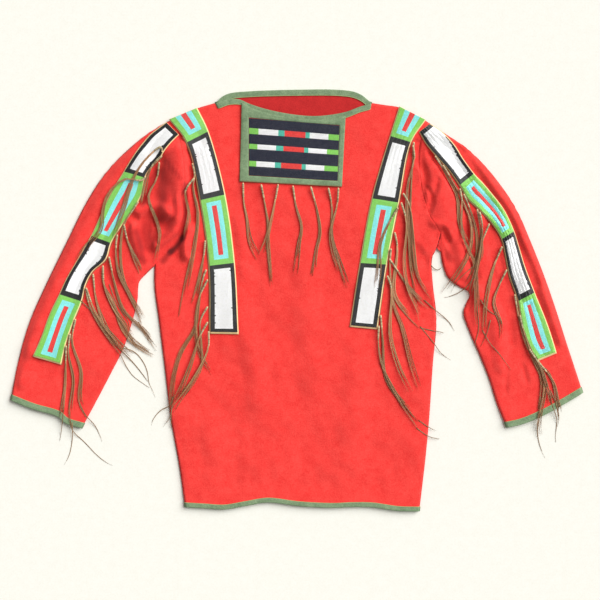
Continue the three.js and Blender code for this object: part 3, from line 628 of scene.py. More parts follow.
def bound_neck(rows, fractions):
    """The neck edge set back for its tape, easing out to both ends."""
    line = stations(rows, fractions)
    ends = np.minimum(fractions, 1 - fractions) * length(line)
    return offset(line, -TAPE_WRAP * np.clip(ends / 3, 0, 1))


def set_back(points, towards, distance):
    return points + unit(towards - points) * distance


def body_plan(neck, step):
    """Plan of a body panel from the hem up, and the columns that its neck edge takes."""
    side_fractions = edge_fractions(length(spline(SIDE["left"])), False, False, step)
    gusset_fractions = np.linspace(0, 1, max(4, round(55 / step)))
    armhole_fractions = edge_fractions(210, True, False, step)
    shoulder_fractions = edge_fractions(100, True, False, step)
    neck_fractions = np.linspace(0, 1, round(300 / step))
    left, right = (
        joined(
            along(trimmed(spline(SIDE[side]), TAPE_WRAP), side_fractions),
            stations(GUSSET[side], gusset_fractions),
            stations(ARMHOLE[side], armhole_fractions)[::-1],
        )
        for side in SIDE
    )
    across = np.concatenate([
        shoulder_fractions * LEFT_SHARE,
        mix(LEFT_SHARE, 1 - RIGHT_SHARE, neck_fractions)[1:],
        1 - shoulder_fractions[::-1][1:] * RIGHT_SHARE,
    ])
    top = joined(
        stations(SHOULDER["left"], shoulder_fractions),
        bound_neck(neck, neck_fractions),
        stations(SHOULDER["right"], 1 - shoulder_fractions[::-1]),
    )
    plan = filled(stations(HEM, across), top, left, right)
    seam = slice(len(side_fractions) - 1, None)
    for edge, beside in ((0, 1), (-1, -2)):
        plan[seam, edge] = set_back(plan[seam, edge], plan[seam, beside], SEAM_SETBACK)
    first = len(shoulder_fractions) - 1
    return plan, slice(first, first + len(neck_fractions))


def wall_normals(points):
    """Normals of a layer's face, level where it meets the other layer in a folded edge."""
    normal = grid_normals(points)
    on_edge = distance_to(folded_edges, points.reshape(-1, 3)[:, :2]).reshape(points.shape[:2]) < 0.1
    return np.where(on_edge[..., None], unit(normal * LEVEL), normal)


def upper_within(top):
    return top - wall_normals(top) * CLOTH


def lower_within(base):
    return base + wall_normals(base) * [-CLOTH, -CLOTH, CLOTH]


front_plan, front_neck = body_plan(NECK_FRONT, CLOTH_STEP)
front_outer = lift(upper_top, front_plan)
front_inner = upper_within(front_outer)
points, faces = shell(front_outer, front_inner)
# The front panel's paint holds painted shade for its deep creases
front_panel = solid(
    "front_panel_cloth", wool_with_painted_shade, "wool", "front_panel", points, faces, painted_crease_shade(points)
)

back_plan, back_neck = body_plan(NECK_BACK, HIDDEN_STEP)
back_base = lift(lower_base, back_plan)
back_top = lower_within(back_base)
back_panel = solid("back_panel_cloth", wool, "wool", "back_panel", *shell(back_top, back_base))
# The inside faces of the back panel take the darker wool: painted shade inside the neck
back_panel.data.materials.append(wool_inside_painted_shade)
inside_faces = (back_plan.shape[0] - 1) * (back_plan.shape[1] - 1)
back_panel.data.polygons.foreach_set(
    "material_index", (np.arange(len(back_panel.data.polygons)) < inside_faces).astype(int)
)


def sleeve_rings(side):
    """Outer and inner rings of a sleeve tube pressed flat, from the armhole to the cuff."""
    parts = SLEEVE[side]
    gusset_fractions = np.linspace(0, 1, 16)
    inner_line, outer_line = (
        trimmed(spline(parts[edge])[::-1], TAPE_WRAP)[::-1] for edge in ("inner", "outer")
    )
    along_fractions = edge_fractions(length(inner_line), False, False)
    outer_fractions = np.append(gusset_fractions * GUSSET_SHARE, mix(GUSSET_SHARE, 1, along_fractions)[1:])
    inner_edge = joined(stations(GUSSET[side], gusset_fractions)[::-1], along(inner_line, along_fractions))
    across = edge_fractions(200)
    armhole, cuff = stations(ARMHOLE[side], across), stations(parts["cuff"], across)
    plan = filled(armhole, cuff, along(outer_line, outer_fractions), inner_edge)
    plan[0] = set_back(plan[0], plan[1], SEAM_SETBACK)
    joint = slice(0, len(gusset_fractions))
    plan[joint, -1] = set_back(plan[joint, -1], plan[joint, -2], SEAM_SETBACK)
    top, base = lift(upper_top, plan), lift(lower_base, plan)
    top_within, base_within = upper_within(top), lower_within(base)
    for within in (top_within, base_within):
        aside = within[joint, -2] * LEVEL + within[joint, -1] * UP
        within[joint, -1] = set_back(within[joint, -1], aside, CLOTH)
    outer = np.concatenate([top, base[:, ::-1]], axis=1)
    inner = np.concatenate([top_within, base_within[:, ::-1]], axis=1)
    return outer, inner


# Upper half of the tape folded over an edge: distance from the edge, height over the cloth
HALF_TAPE = [
    (BAND, GAP),
    (BAND, 1.05),
    (BAND - 0.5, TAPE_WRAP),
    (7, TAPE_WRAP),
    (3.5, TAPE_WRAP),
    (0.5, TAPE_WRAP),
    (-0.7, 1.15),
    (-1.25, 0.6),
]
TAPE_SECTION = [(1, *row) for row in HALF_TAPE] + [(-1, *row) for row in HALF_TAPE[::-1]]
TAPE_SECTION += [(-1, -GAP, GAP), (1, -GAP, GAP)]
TAPE_ROWS = 14


def run_from_edge(grid):
    """Distance of each point from the first row along its column."""
    steps = np.linalg.norm(np.diff(grid[:, :, :2], axis=0), axis=2)
    return np.vstack([np.zeros(grid.shape[1]), np.cumsum(steps, axis=0)])


def inward(grid, run, distance):
    """Values at one distance from the first row, or beyond it where the distance is negative."""
    out = np.array([
        [np.interp(distance, run[:, i], grid[:, i, k]) for k in range(3)] for i in range(grid.shape[1])
    ])
    return out + unit((grid[0] - grid[1]) * LEVEL) * max(0, -distance)


def tape_sections(outer, inner, narrower):
    """Sections of the tape over the first row of a cloth wall; both grids run away from the edge."""
    outer, inner = outer[:TAPE_ROWS], inner[:TAPE_ROWS]
    away = unit(outer - inner)
    run = run_from_edge(outer)
    sections = np.empty((outer.shape[1], len(TAPE_SECTION), 3))
    for n, (side, distance, height) in enumerate(TAPE_SECTION):
        distance = distance - narrower if distance > BAND / 2 else distance
        normal = unit(inward(away, run, max(distance, 0)))
        face = outer if side > 0 else inner
        sections[:, n] = inward(face, run, distance) + normal * height * side
    return sections


tapes = {}
edge_lines = Pile()


def add_thread(line):
    edge_lines.add(*cable(line + UP * 0.1, 0.5, 5), srgb(178, 190, 128))


def bind(name, outer, inner, closed=False):
    """Folds a tape over the first row of a cloth wall, with a thread line on it where it is open."""
    sections = tape_sections(outer, inner, HEM_NARROWER if name.startswith("hem") else 0)
    sections[..., 2] = np.maximum(sections[..., 2], 0)
    tapes[name] = solid(f"{name}_tape", tape, "tape", name, *sweep(sections, closed))
    if not closed:
        add_thread(sections[:, 2])


bind("hem_binding_front", front_outer, front_inner)
bind("hem_binding_back", back_top, back_base)
bind("neck_binding_front", front_outer[::-1, front_neck], front_inner[::-1, front_neck])
bind("neck_binding_back", back_top[::-1, back_neck], back_base[::-1, back_neck])

sleeves = {}
for side in SLEEVE:
    outer, inner = sleeve_rings(side)
    points, faces = shell(outer, inner, True)
    # Each sleeve's paint holds painted shade for its deep creases
    sleeves[side] = solid(
        f"sleeve_{side}_cloth", wool_with_painted_shade, "wool", f"sleeve_{side}", points, faces, painted_crease_shade(points)
    )
    bind(f"cuff_binding_{side}", outer[::-1], inner[::-1], True)
    cuff_top = outer[::-1, :outer.shape[1] // 2]
    add_thread(inward(cuff_top, run_from_edge(cuff_top), BAND - 0.5) + UP * TAPE_WRAP)

# Beaded strips, seen from above: x, y of one edge, x, y of the other. STRIP_KINDS names the
# pattern between two rows, and rows of one kind that follow each other are one colour block.
STRIPS = {
    "body_left": [
        (-238, 346, -184, 368), (-205, 302, -163, 324), (-179.5, 193, -131, 204),
        (-162.5, 69, -113, 75), (-161, -60, -105.5, -61),
    ],
    "body_right": [
        (198.5, 371, 249, 345), (180.5, 314, 221, 302), (146, 196, 198, 188),
        (123.5, 74, 175, 71), (104.5, -47, 157, -52),
    ],
    "sleeve_left": [
        (-243, 341, -219, 317), (-259, 329, -231, 304), (-275, 316, -244, 288), (-291, 296, -255, 271),
        (-307, 272, -271, 255), (-323, 246, -283, 235), (-340, 219, -289, 204), (-356, 190, -306, 174),
        (-369, 160, -326, 146), (-385, 126, -347, 112), (-402, 96, -357, 81), (-417, 70, -382, 58),
        (-431, 45, -395, 34), (-445, 15, -403, 1), (-463, -22, -418, -36), (-479, -66, -433, -80),
        (-495, -103, -442, -119),
    ],
    "sleeve_right": [
        (236, 322, 257, 338), (250, 298, 279, 323), (272, 271, 303, 298), (292, 249, 320, 271),
        (313, 220, 341, 243), (328, 195, 356, 227), (347, 177, 373, 207), (370, 153, 397, 175),
        (392, 119, 416, 135), (399, 90, 425, 107), (407, 50, 437, 67), (423, 2, 455, 19),
        (427, -20, 464, -3), (433, -55, 477, -36), (440, -80, 488, -68), (462, -112, 497, -97),
    ],
}
STRIP_KINDS = {
    "body_left": ["bright", "dark", "bright", "dark"],
    "body_right": ["bright", "dark", "bright", "dark"],
    "sleeve_left": ["dark"] * 5 + ["bright"] * 4 + ["dark"] * 4 + ["bright"] * 3,
    "sleeve_right": ["dark"] * 4 + ["bright"] * 4 + ["dark"] * 3 + ["bright"] * 4,
}
STRIP_STATIONS = 160
STRIP_COLUMNS = 17
STRIP_LANES = 5
STRIP_BEADS = 25
STRIP_MARGIN = 2.0
TOP_MARGIN = 0.4
HIDDEN_START = 26
ROLLED = "sleeve_right"
ROLLED_RUN = 50
JAG_CHANCE = 0.16
BEAD_PITCH = 2.0
BEAD_RADIUS = 1.0
BEAD_SINK = 0.1
BED = 0.9
LANE_ARCH = 0.06
BEAD_BORDER = 9.0
DARK_BORDER = 0.18
RING = 8.2
PAINT = {
    "green": srgb(138, 214, 94),
    "cyan": srgb(142, 240, 238),
    "red": srgb(240, 62, 56),
    "black": srgb(24, 26, 27),
    "white": srgb(254, 254, 252),
    "navy": srgb(24, 28, 50),
    "turquoise": srgb(84, 196, 172),
}


def bilinear(grid, rows, columns):
    """Values of a grid at fractional rows and columns."""
    rows = np.clip(rows, 0, grid.shape[0] - 1.001)
    columns = np.clip(columns, 0, grid.shape[1] - 1.001)
    j, i = rows.astype(int), columns.astype(int)
    v, u = (rows - j)[..., None], (columns - i)[..., None]
    return mix(mix(grid[j, i], grid[j, i + 1], u), mix(grid[j + 1, i], grid[j + 1, i + 1], u), v)


def neighbours(values, reach):
    """The values around each place up to a reach, as shifted copies."""
    padded = np.pad(values, reach, mode="edge")
    shifts = itertools.product(range(2 * reach + 1), repeat=values.ndim)
    return [padded[tuple(slice(s, s + n) for s, n in zip(shift, values.shape))] for shift in shifts]


def eased(heights, reach):
    """The highest height around each place, then smoothed so that nothing cuts into what lies under."""
    return np.mean(neighbours(np.max(neighbours(heights, reach), axis=0), reach), axis=0)


def taped_top(points):
    """Top of the upper layer with the neck's tape on it."""
    return upper_top(points) + TAPE_WRAP * (distance_to(upper_bound[1:2], points) < BAND + TAPE_WRAP + 1)


def draped(plan):
    """A soft piece laid on the cloth."""
    heights = taped_top(plan.reshape(-1, 2)).reshape(plan.shape[:2])
    return np.dstack([plan, eased(heights, 4) + GAP])


# Bead as a closed low dome: across its string, along its string, up
BEAD_SHAPE = np.array([
    (math.cos(math.radians(turn)), end * 0.97, math.sin(math.radians(turn)) * 0.24)
    for end in (-1, 1) for turn in (0, 38, 142, 180)
])
BEAD_FACES = np.array([
    (0, 4, 5, 1), (1, 5, 6, 2), (2, 6, 7, 3), (3, 7, 4, 0), (0, 1, 2, 3), (7, 6, 5, 4),
])


def add_beads(name, node, centres, string, cells):
    """Beads strung along one direction, which may be one for each."""
    count = len(centres)
    string = np.broadcast_to(unit(string), centres.shape)
    axes = np.stack([unit(np.cross(string, UP)), string, np.broadcast_to(UP, centres.shape)], axis=1)
    size = BEAD_RADIUS * random.uniform(0.93, 1.05, (count, 1, 1))
    points = centres[:, None] + BEAD_SHAPE @ axes * size
    colour = cells.reshape(-1, 3) * random.uniform(0.92, 1.08, (count, 1))
    colour = colour + random.uniform(0, 0.014, (count, 1))
    faces = (BEAD_FACES[None] + np.arange(count)[:, None, None] * len(BEAD_SHAPE)).reshape(-1, 4)
    colours = np.repeat(np.clip(colour, 0, 0.97), len(BEAD_SHAPE), axis=0)
    return solid(name, beads, "beads", node, points, faces, colours)


def add_bed(name, base, height, cells, columns):
    """The bed under beads in their own colours, where columns are the beads over each of its columns."""
    rows = np.minimum(np.arange(len(base)), len(cells) - 1)
    tint = cells[rows][:, np.minimum(columns, cells.shape[1] - 1)].reshape(-1, 3)
    return solid(name, bead_bed, "beads", None, *shell(base + UP * height, base), np.vstack([tint, tint]))


def strip_colour(kind, end, across, width, rolled):
    """Colour name of a bead in a block, from its distances and the width rolled out of sight."""
    edge = min(across, width - across + rolled)
    if kind == "dark":
        return "black" if end < BEAD_BORDER or edge < width * DARK_BORDER else "white"
    if end < BEAD_BORDER or edge < width / STRIP_LANES:
        return "green"
    return "cyan" if end < BEAD_BORDER + RING or edge < 2 * width / STRIP_LANES else "red"


def same_kind(kinds, block):
    """The first of the blocks of one kind around a block, and the one after their last."""
    first, after = block, block + 1
    while first and kinds[first - 1] == kinds[block]:
        first -= 1
    while after < len(kinds) and kinds[after] == kinds[block]:
        after += 1
    return first, after


def lane_arch(share):
    """Height of a lane's crown at shares of the way across the lanes."""
    return LANE_ARCH * (1 - (2 * (share * STRIP_LANES % 1) - 1) ** 2)


def on_strip(base, rows, spans, share):
    """Points of a strip at rows of it, and at shares of its beaded width."""
    inset = STRIP_MARGIN + share[None] * (spans[:, None] - 2 * STRIP_MARGIN)
    columns = inset / spans[:, None] * (STRIP_COLUMNS - 1)
    return bilinear(base, np.repeat(rows[:, None], len(share), 1), columns)


def add_strip(place):
    """One beaded strip: its hide backing, its beads and the bed under them."""
    edges, kinds = np.array(STRIPS[place], float), STRIP_KINDS[place]
    blocks = len(kinds)
    per_block = STRIP_STATIONS // blocks
    places = np.linspace(0, blocks, blocks * per_block + 1)
    first, second = by_row(edges[:, :2], places), by_row(edges[:, 2:], places)
    width = np.linalg.norm(second - first, axis=1)
    base = draped(mix(first[:, None], second[:, None], np.linspace(0, 1, STRIP_COLUMNS)[None, :, None]))
    run = runs((first + second) / 2)
    plate = shell(base + UP * HIDE, base)
    backing = solid(f"strip_{place}_hide_piece", hide, "hide", f"strip_{place}_hide", *plate)

    def placed(distances):
        rows = np.interp(distances, run, np.arange(len(run)))
        return rows, np.interp(rows, np.arange(len(width)), width)

    count = int((run[-1] - STRIP_MARGIN - TOP_MARGIN) / BEAD_PITCH)
    at = TOP_MARGIN + (np.arange(count) + 0.5) * BEAD_PITCH
    rows, spans = placed(at)
    across = (np.arange(STRIP_BEADS) + 0.5) / STRIP_BEADS
    names = []
    for row, span, distance in zip(rows, spans, at):
        usable = span - 2 * STRIP_MARGIN
        block = min(blocks - 1, int(row / per_block))
        start, end = (run[k * per_block] for k in same_kind(kinds, block))
        before = distance - start + (HIDDEN_START if block == 0 and kinds[0] == "bright" else 0)
        jag = random.integers(-1, 2, 2) * (random.random(2) < JAG_CHANCE)
        shift = np.where(across < 0.5, jag[0], -jag[1]) * (kinds[block] == "dark")
        aside = across * usable + shift * usable / 26
        rolled = usable / STRIP_LANES * np.clip(1.6 - distance / ROLLED_RUN, 0, 1) * (place == ROLLED)
        nearest = min(before, end - distance)
        names.append([strip_colour(kinds[block], nearest, x, usable, rolled) for x in aside])
    cells = np.array([[PAINT[name] for name in row] for row in names])
    heights = UP * (HIDE + GAP + BED + lane_arch(across) - BEAD_SINK)[:, None]
    centres = (on_strip(base, rows, spans, across) + heights).reshape(-1, 3)
    ends = bilinear(base, rows[:, None], np.array([[0, STRIP_COLUMNS - 1.0]]))
    strings = np.repeat(ends[:, 1] - ends[:, 0], STRIP_BEADS, axis=0)
    add_beads(f"strip_{place}_beading", f"strip_{place}_beads", centres, strings, cells)
    share = np.linspace(0, 1, STRIP_LANES * 4 + 1)
    bed_rows, bed_spans = placed(TOP_MARGIN + np.linspace(0, count * BEAD_PITCH, count + 1))
    bed_base = on_strip(base, bed_rows, bed_spans, share) + UP * (HIDE + GAP)
    bed_height = (BED - 0.35 + lane_arch(share))[:, None]
    bed = add_bed(f"strip_{place}_bed", bed_base, bed_height, cells, (share * STRIP_BEADS).astype(int))
    return backing, bed


strip_pieces = [piece for place in STRIPS for piece in add_strip(place)]

# Bib: red backing, tape frame and seven lanes of beads. Each lane has a share of the height,
# every second one is barred, and a bar ends at its share of the width.
BIB = {
    "outline": {
        "top": (-100, 377, -85, 369, -58, 359.5, -18, 350.5, 22, 345.5, 52, 345, 97, 352),
        "bottom": (-104, 228, 90, 218),
    },
    "beads": {"top": (-86, 348, 85, 334), "bottom": (-86, 240, 81, 230)},
}
BIB_BACKING = 1.2
BIB_LANE_SHARES = [0.16, 0.095, 0.211, 0.086, 0.175, 0.103, 0.17]
BIB_BARS = [
    (0.108, "green"),
    (0.32, "white"),
    (0.395, "turquoise"),
    (0.625, "red"),
    (0.675, "turquoise"),
    (0.88, "white"),
    (1.04, "green"),
]
BIB_SHIFTS = {1: 0.03, 3: 0.012, 5: 0}
BIB_COLUMNS = 86
BIB_HEIGHT = 106


def between(part, columns, rows):
    """Rows of points between the bottom and the top of a part of the bib."""
    low, high = (stations(part[key], np.linspace(0, 1, columns)) for key in ("bottom", "top"))
    return mix(low[None], high[None], np.linspace(0, 1, rows)[:, None, None])


bib_base = draped(between(BIB["outline"], 61, 45))
bib_plate = shell(bib_base + UP * BIB_BACKING, bib_base)
bib_backing = solid("bib_backing_piece", wool, "wool", "bib_backing", *bib_plate)


def bib_height(points):
    """Top of the bib's backing under points of its plan."""
    flat = bib_base.reshape(-1, 3)
    out = np.empty(len(points))
    for start in range(0, len(points), 500):
        part = points[start:start + 500]
        nearest = ((part[:, None] - flat[None, :, :2]) ** 2).sum(-1).argmin(1)
        out[start:start + 500] = flat[nearest, 2]
    return out + BIB_BACKING + GAP


def frame_ring(inset):
    """The bib's outline moved towards its beads by a share of the way."""
    sides = np.linspace(0, 1, 26)[:-1, None]
    loops = []
    for part in BIB.values():
        low, high = (stations(part[key], np.linspace(0, 1, 40)) for key in ("bottom", "top"))
        right, left = mix(low[-1], high[-1], sides), mix(high[0], low[0], sides)
        loops.append(np.vstack([low[:-1], right, high[::-1][:-1], left]))
    return mix(loops[0], loops[1], inset)


# Section of the bib's tape frame: share of the way to the beads, height as a share of the tape
FRAME_SECTION = [(0, 0.55), (0.04, 1), (0.3, 1), (0.65, 1), (0.93, 1), (0.96, 0.6), (0.96, 0)]
section = []
for inset, rise in FRAME_SECTION:
    ring = frame_ring(inset)
    section.append(np.column_stack([ring, bib_height(ring) + TAPE * rise]))
ring = frame_ring(0)
section.append(np.column_stack([ring, bib_height(ring) - BIB_BACKING - GAP]))
bib_frame = sweep(np.stack(section, axis=1), closed=True)
bib_binding = solid("bib_binding_tape", tape, "tape", "bib_binding", *bib_frame)

low, high = (stations(BIB["beads"][key], np.linspace(0, 1, BIB_COLUMNS + 1)) for key in ("bottom", "top"))
low, high = (low[1:] + low[:-1]) / 2, (high[1:] + high[:-1]) / 2
bib_rows, bib_names = [], []
bottom = 0
for lane, share in enumerate(BIB_LANE_SHARES):
    count = max(4, round(share * BIB_HEIGHT / BEAD_PITCH))
    shares_here = (np.arange(BIB_COLUMNS) + 0.5) / BIB_COLUMNS + BIB_SHIFTS.get(lane, 0)
    bars = [next(name for limit, name in BIB_BARS if u < limit) for u in shares_here]
    for n in range(count):
        up = (n + 0.5) / count
        row = mix(low, high, bottom + up * share)
        arch = LANE_ARCH * (1 - (2 * up - 1) ** 2)
        bib_rows.append(np.column_stack([row, bib_height(row) + BED + arch - BEAD_SINK]))
        bib_names.append(bars if lane % 2 else ["navy"] * BIB_COLUMNS)
    bottom += share
cells = np.array([[PAINT[name] for name in row] for row in bib_names])
string = [*(high - low).mean(0), 0]
add_beads("bib_beadwork_beads", "bib_beadwork", np.vstack(bib_rows), string, cells)
bed_plan = between(BIB["beads"], BIB_COLUMNS + 1, len(bib_rows) + 1)
bib_bed = add_bed("bib_bed", lift(bib_height, bed_plan), BED - 0.3, cells, np.arange(BIB_COLUMNS + 1))

# Hair locks: x, y of each point from the root to the tip
LOCKS = {
    "bib": [
        (-98, 225, -96, 190, -90, 158, -84, 118, -66, 80),
        (-64, 222, -55, 180, -50, 148, -50, 112, -43, 23),
        (-32, 221, -38, 184, -45, 152, -54, 112, -67, 84),
        (-2, 219, 3, 182, 14, 142, 8, 108, 1, 46),
        (29, 217, 43, 173, 48, 131, 41, 99, 34, 42),
        (60, 216, 71, 180, 71, 122, 85, 76, 102, 25),
        (86, 215, 81, 184, 69, 133, 75, 95, 88, 59),
    ],
    "sleeve_left": [
        (-223, 312, -252, 293, -280, 270, -305, 232, -324, 175, -344, 116),
        (-244, 280, -269, 258, -282, 224, -290, 182),
        (-248, 264, -261, 234, -276, 201, -261, 154, -254, 127, -263, 72),
        (-276, 239, -288, 230, -320, 232, -351, 205, -362, 173, -366, 137, -394, 103, -415, 68),
        (-294, 194, -305, 175, -324, 144, -329, 82, -320, 32, -286, -32),
        (-320, 144, -316, 116, -305, 91, -290, 51),
        (-354, 89, -341, 38, -324, -14, -288, -51, -259, -91),
        (-362, 76, -362, 34, -343, 0, -327, -46, -301, -80, -264, -103),
        (-381, 55, -377, 11, -364, -32, -341, -74, -322, -91),
        (-394, 30, -387, -10, -351, -68, -324, -104),
        (-415, -28, -421, -74, -404, -131, -406, -186, -388, -222),
        (-429, -55, -428, -95, -419, -148, -425, -201, -420, -242),
        (-434, -80, -434, -127, -438, -188, -441, -222),
        (-350, 143, -338, 105, -332, 55, -313, 17, -294, -21, -284, -47),
        (-366, 80, -360, 29, -344, -9, -319, -47, -294, -97),
        (-389, 29, -376, -21, -338, -72, -306, -104),
    ],
    "body_left": [
        (-203, 268, -189, 241, -193, 217, -183, 171, -189, 110, -206, 30, -216, -32),
        (-193, 234, -206, 209, -200, 165, -206, 118),
        (-174, 118, -172, 86, -181, 42, -191, -6),
        (-174, 66, -172, 49, -180, 4, -189, -51, -214, -93, -231, -160, -233, -215),
        (-172, 46, -181, 6, -187, -44, -178, -99, -154, -137),
        (-166, -6, -178, -36, -176, -82, -176, -122, -208, -171, -231, -198),
        (-166, -34, -180, -67, -199, -125, -221, -176, -236, -198),
        (-162, -53, -164, -91, -199, -158, -236, -213),
    ],
    "body_right": [
        (233, 319, 225, 283, 221, 211, 218, 125, 225, 46, 235, -6),
        (218, 207, 218, 182, 226, 104, 235, 46, 261, 4),
        (198, 182, 178, 148, 162, 108, 159, 65, 155, 25),
        (195, 135, 195, 104, 189, 17, 206, -13, 246, -52),
        (183, 110, 181, 68, 187, 0, 205, -49, 220, -112, 238, -171),
        (178, 55, 183, 27, 181, -63, 199, -127, 221, -171),
        (166, -19, 168, -80, 172, -141, 197, -182, 240, -224),
        (159, -38, 159, -82, 166, -120, 200, -186, 238, -241),
        (212, 76, 221, 23, 240, 2, 258, -10),
        (230, 300, 227, 272, 215, 224, 213, 166, 218, 112, 221, 69, 235, 20),
        (216, 190, 212, 150, 208, 74, 215, 25, 235, -18, 240, -43),
    ],
    "sleeve_right": [
        (251, 289, 275, 262, 290, 236, 308, 201, 313, 148, 337, 91),
        (275, 262, 297, 232, 318, 194, 335, 144, 329, 91, 280, 11),
        (314, 204, 333, 174, 345, 127, 344, 76, 326, 30),
        (341, 171, 352, 137, 353, 92, 344, 70),
        (361, 142, 352, 103, 344, 51, 347, -22),
        (383, 104, 376, 61, 362, -8, 360, -62),
        (398, 62, 389, 34, 377, 0, 390, -44, 390, -70),
        (415, 21, 421, -8, 434, -64, 455, -112, 470, -146, 465, -212),
        (427, -21, 430, -42, 447, -91, 474, -148, 463, -228, 468, -262),
        (455, -82, 466, -124, 484, -180, 490, -196),
        (466, -105, 489, -150, 497, -186, 506, -228),
        (307, 219, 317, 190, 315, 151, 322, 112, 341, 74, 344, 20, 346, -28, 351, -52),
        (343, 171, 355, 141, 351, 93, 341, 45, 331, 6),
    ],
}
# Single wisps of hair that leave the locks, mostly over the floor
WISPS = {
    "sleeve_left": [
        (-351, 34, -341, 6, -327, -19, -314, -40, -311, -80),
        (-330, -87, -307, -93, -290, -110, -280, -131, -276, -155, -271, -165, -263, -184),
        (-331, -90, -313, -108, -295, -129, -278, -152, -271, -165),
        (-331, -97, -320, -121, -307, -140, -287, -155, -273, -165),
        (-320, -63, -309, -77, -288, -87, -273, -97, -265, -104),
        (-297, -38, -288, -53, -278, -65, -268, -78, -257, -90),
        (-425, -220, -421, -243, -397, -268, -373, -293, -352, -308, -339, -313),
        (-408, -190, -397, -213, -380, -233, -370, -253, -363, -272),
        (-421, -228, -421, -251, -423, -268, -428, -291, -438, -310),
        (-436, -186, -439, -222, -443, -248, -449, -277),
        (-404, 2, -389, -13, -366, -46, -337, -82),
    ],
    "body_left": [
        (-231, -182, -236, -196, -253, -205, -268, -222, -273, -236),
        (-231, -196, -236, -218, -244, -230, -251, -239),
        (-231, -179, -233, -205, -234, -222, -234, -256),
    ],
    "body_right": [
        (246, 4, 269, -17, 282, -27, 295, -40, 306, -58),
        (238, -49, 265, -55, 278, -57, 292, -63),
        (238, -46, 265, -79, 276, -95, 290, -106, 303, -115),
        (235, -224, 257, -239, 276, -248),
        (231, -239, 257, -256, 276, -260),
    ],
    "sleeve_right": [
        (466, -179, 465, -209, 461, -238, 466, -273, 482, -308),
        (482, -171, 490, -200, 498, -224, 496, -257, 498, -277),
        (485, -167, 498, -200, 502, -218, 498, -247),
        (455, -106, 466, -120, 482, -131, 492, -159),
        (356, -53, 371, -79, 385, -95, 401, -116, 412, -131),
        (345, 4, 349, -53, 343, -78, 347, -104),
        (371, -34, 362, -66, 351, -87),
        (352, 4, 366, -15, 390, -34, 393, -73),
        (345, 52, 321, 24, 304, 14, 287, 9, 267, 11),
        (352, 87, 343, 72, 326, 57, 307, 38, 297, 17),
        (259, 70, 264, 64, 273, 61, 283, 69),
    ],
}
HEAD_LENGTH = 34
HEAD_RADIUS = 2.0
HEAD_RINGS = 29
HAIR_SPREAD = 3.4
LOCK_LEVEL = 1.3
LOCK_CLEAR = 6
LOCK_SPACING = 6
FREE_START = 22
HAIRS = 33
BUNDLES = 3
HAIR_STEPS = 13
HAIR_RADIUS = 0.29
WISP_RADIUS = 0.36
WISP_SHIFTS = (-0.6, -0.15, 0.3, 0.7)
WISP_SPACING = 6
THONG_OFFSET = 1.0
THONG = srgb(150, 116, 78)
QUILL = np.array([srgb(172, 154, 116), srgb(138, 120, 88), srgb(196, 180, 140)])
HAIR_BROWNS = np.array([srgb(186, 140, 96), srgb(160, 118, 78), srgb(206, 162, 116), srgb(130, 92, 60)])
WISP_BROWN = np.array(srgb(150, 116, 80))
KNOT = srgb(222, 194, 148)


def surface_of(objects):
    """A tree for dropping points onto the meshes laid so far."""
    points, faces = [], []
    for made in objects:
        start = len(points)
        points.extend(v.co[:] for v in made.data.vertices)
        faces.extend([start + i for i in p.vertices] for p in made.data.polygons)
    return BVHTree.FromPolygons(points, faces)


laid = [front_panel, *sleeves.values(), *tapes.values(), back_panel, bib_binding, bib_bed]
surface = surface_of(laid + strip_pieces)


def height_at(x, y):
    hit = surface.ray_cast(Vector((x * MM, y * MM, 1)), Vector((0, 0, -1)))[0]
    return hit.z / MM if hit else 0.0


def resting(path, reach):
    """Height of what lies under a path, taking its width in."""
    direction = unit(np.gradient(path, axis=0))
    side = np.column_stack([-direction[:, 1], direction[:, 0]])
    shifts = (-reach, 0, reach)
    return eased(np.array([max(height_at(*(p + s * k)) for k in shifts) for p, s in zip(path, side)]), 2)


# Edge of each strip that its locks hang from: first column of STRIPS, side the thong lies on
LOCK_EDGES = {"sleeve_left": (2, 1), "body_left": (0, -1), "body_right": (2, 1), "sleeve_right": (0, -1)}
thong_lines = {"bib": offset(stations(BIB["outline"]["bottom"], np.linspace(0, 1, 30)), THONG_OFFSET)}
for place, (column, side) in LOCK_EDGES.items():
    edge = np.array(STRIPS[place])[:, column:column + 2]
    thong_lines[place] = offset(stations(edge, np.linspace(0.1, 1, 90)), side * THONG_OFFSET)
laid_paths = []


def free_level(path):
    """The lowest level where a path crosses no other lock of that level."""
    taken = set()
    for other, level in laid_paths:
        if np.min(np.linalg.norm(path[:, None] - other[None], axis=2)) < LOCK_CLEAR:
            taken.add(level)
    level = next(level for level in itertools.count() if level not in taken)
    laid_paths.append((path, level))
    return level


def add_knot(pile, centre, size):
    """A small round knot of hide."""
    turns = np.linspace(0, math.pi, 6)[1:-1]
    line = np.outer(np.cos(turns) * size, [1, 0, 0])
    pile.add(*cable(centre + line, np.sin(turns) * size, 7), KNOT)


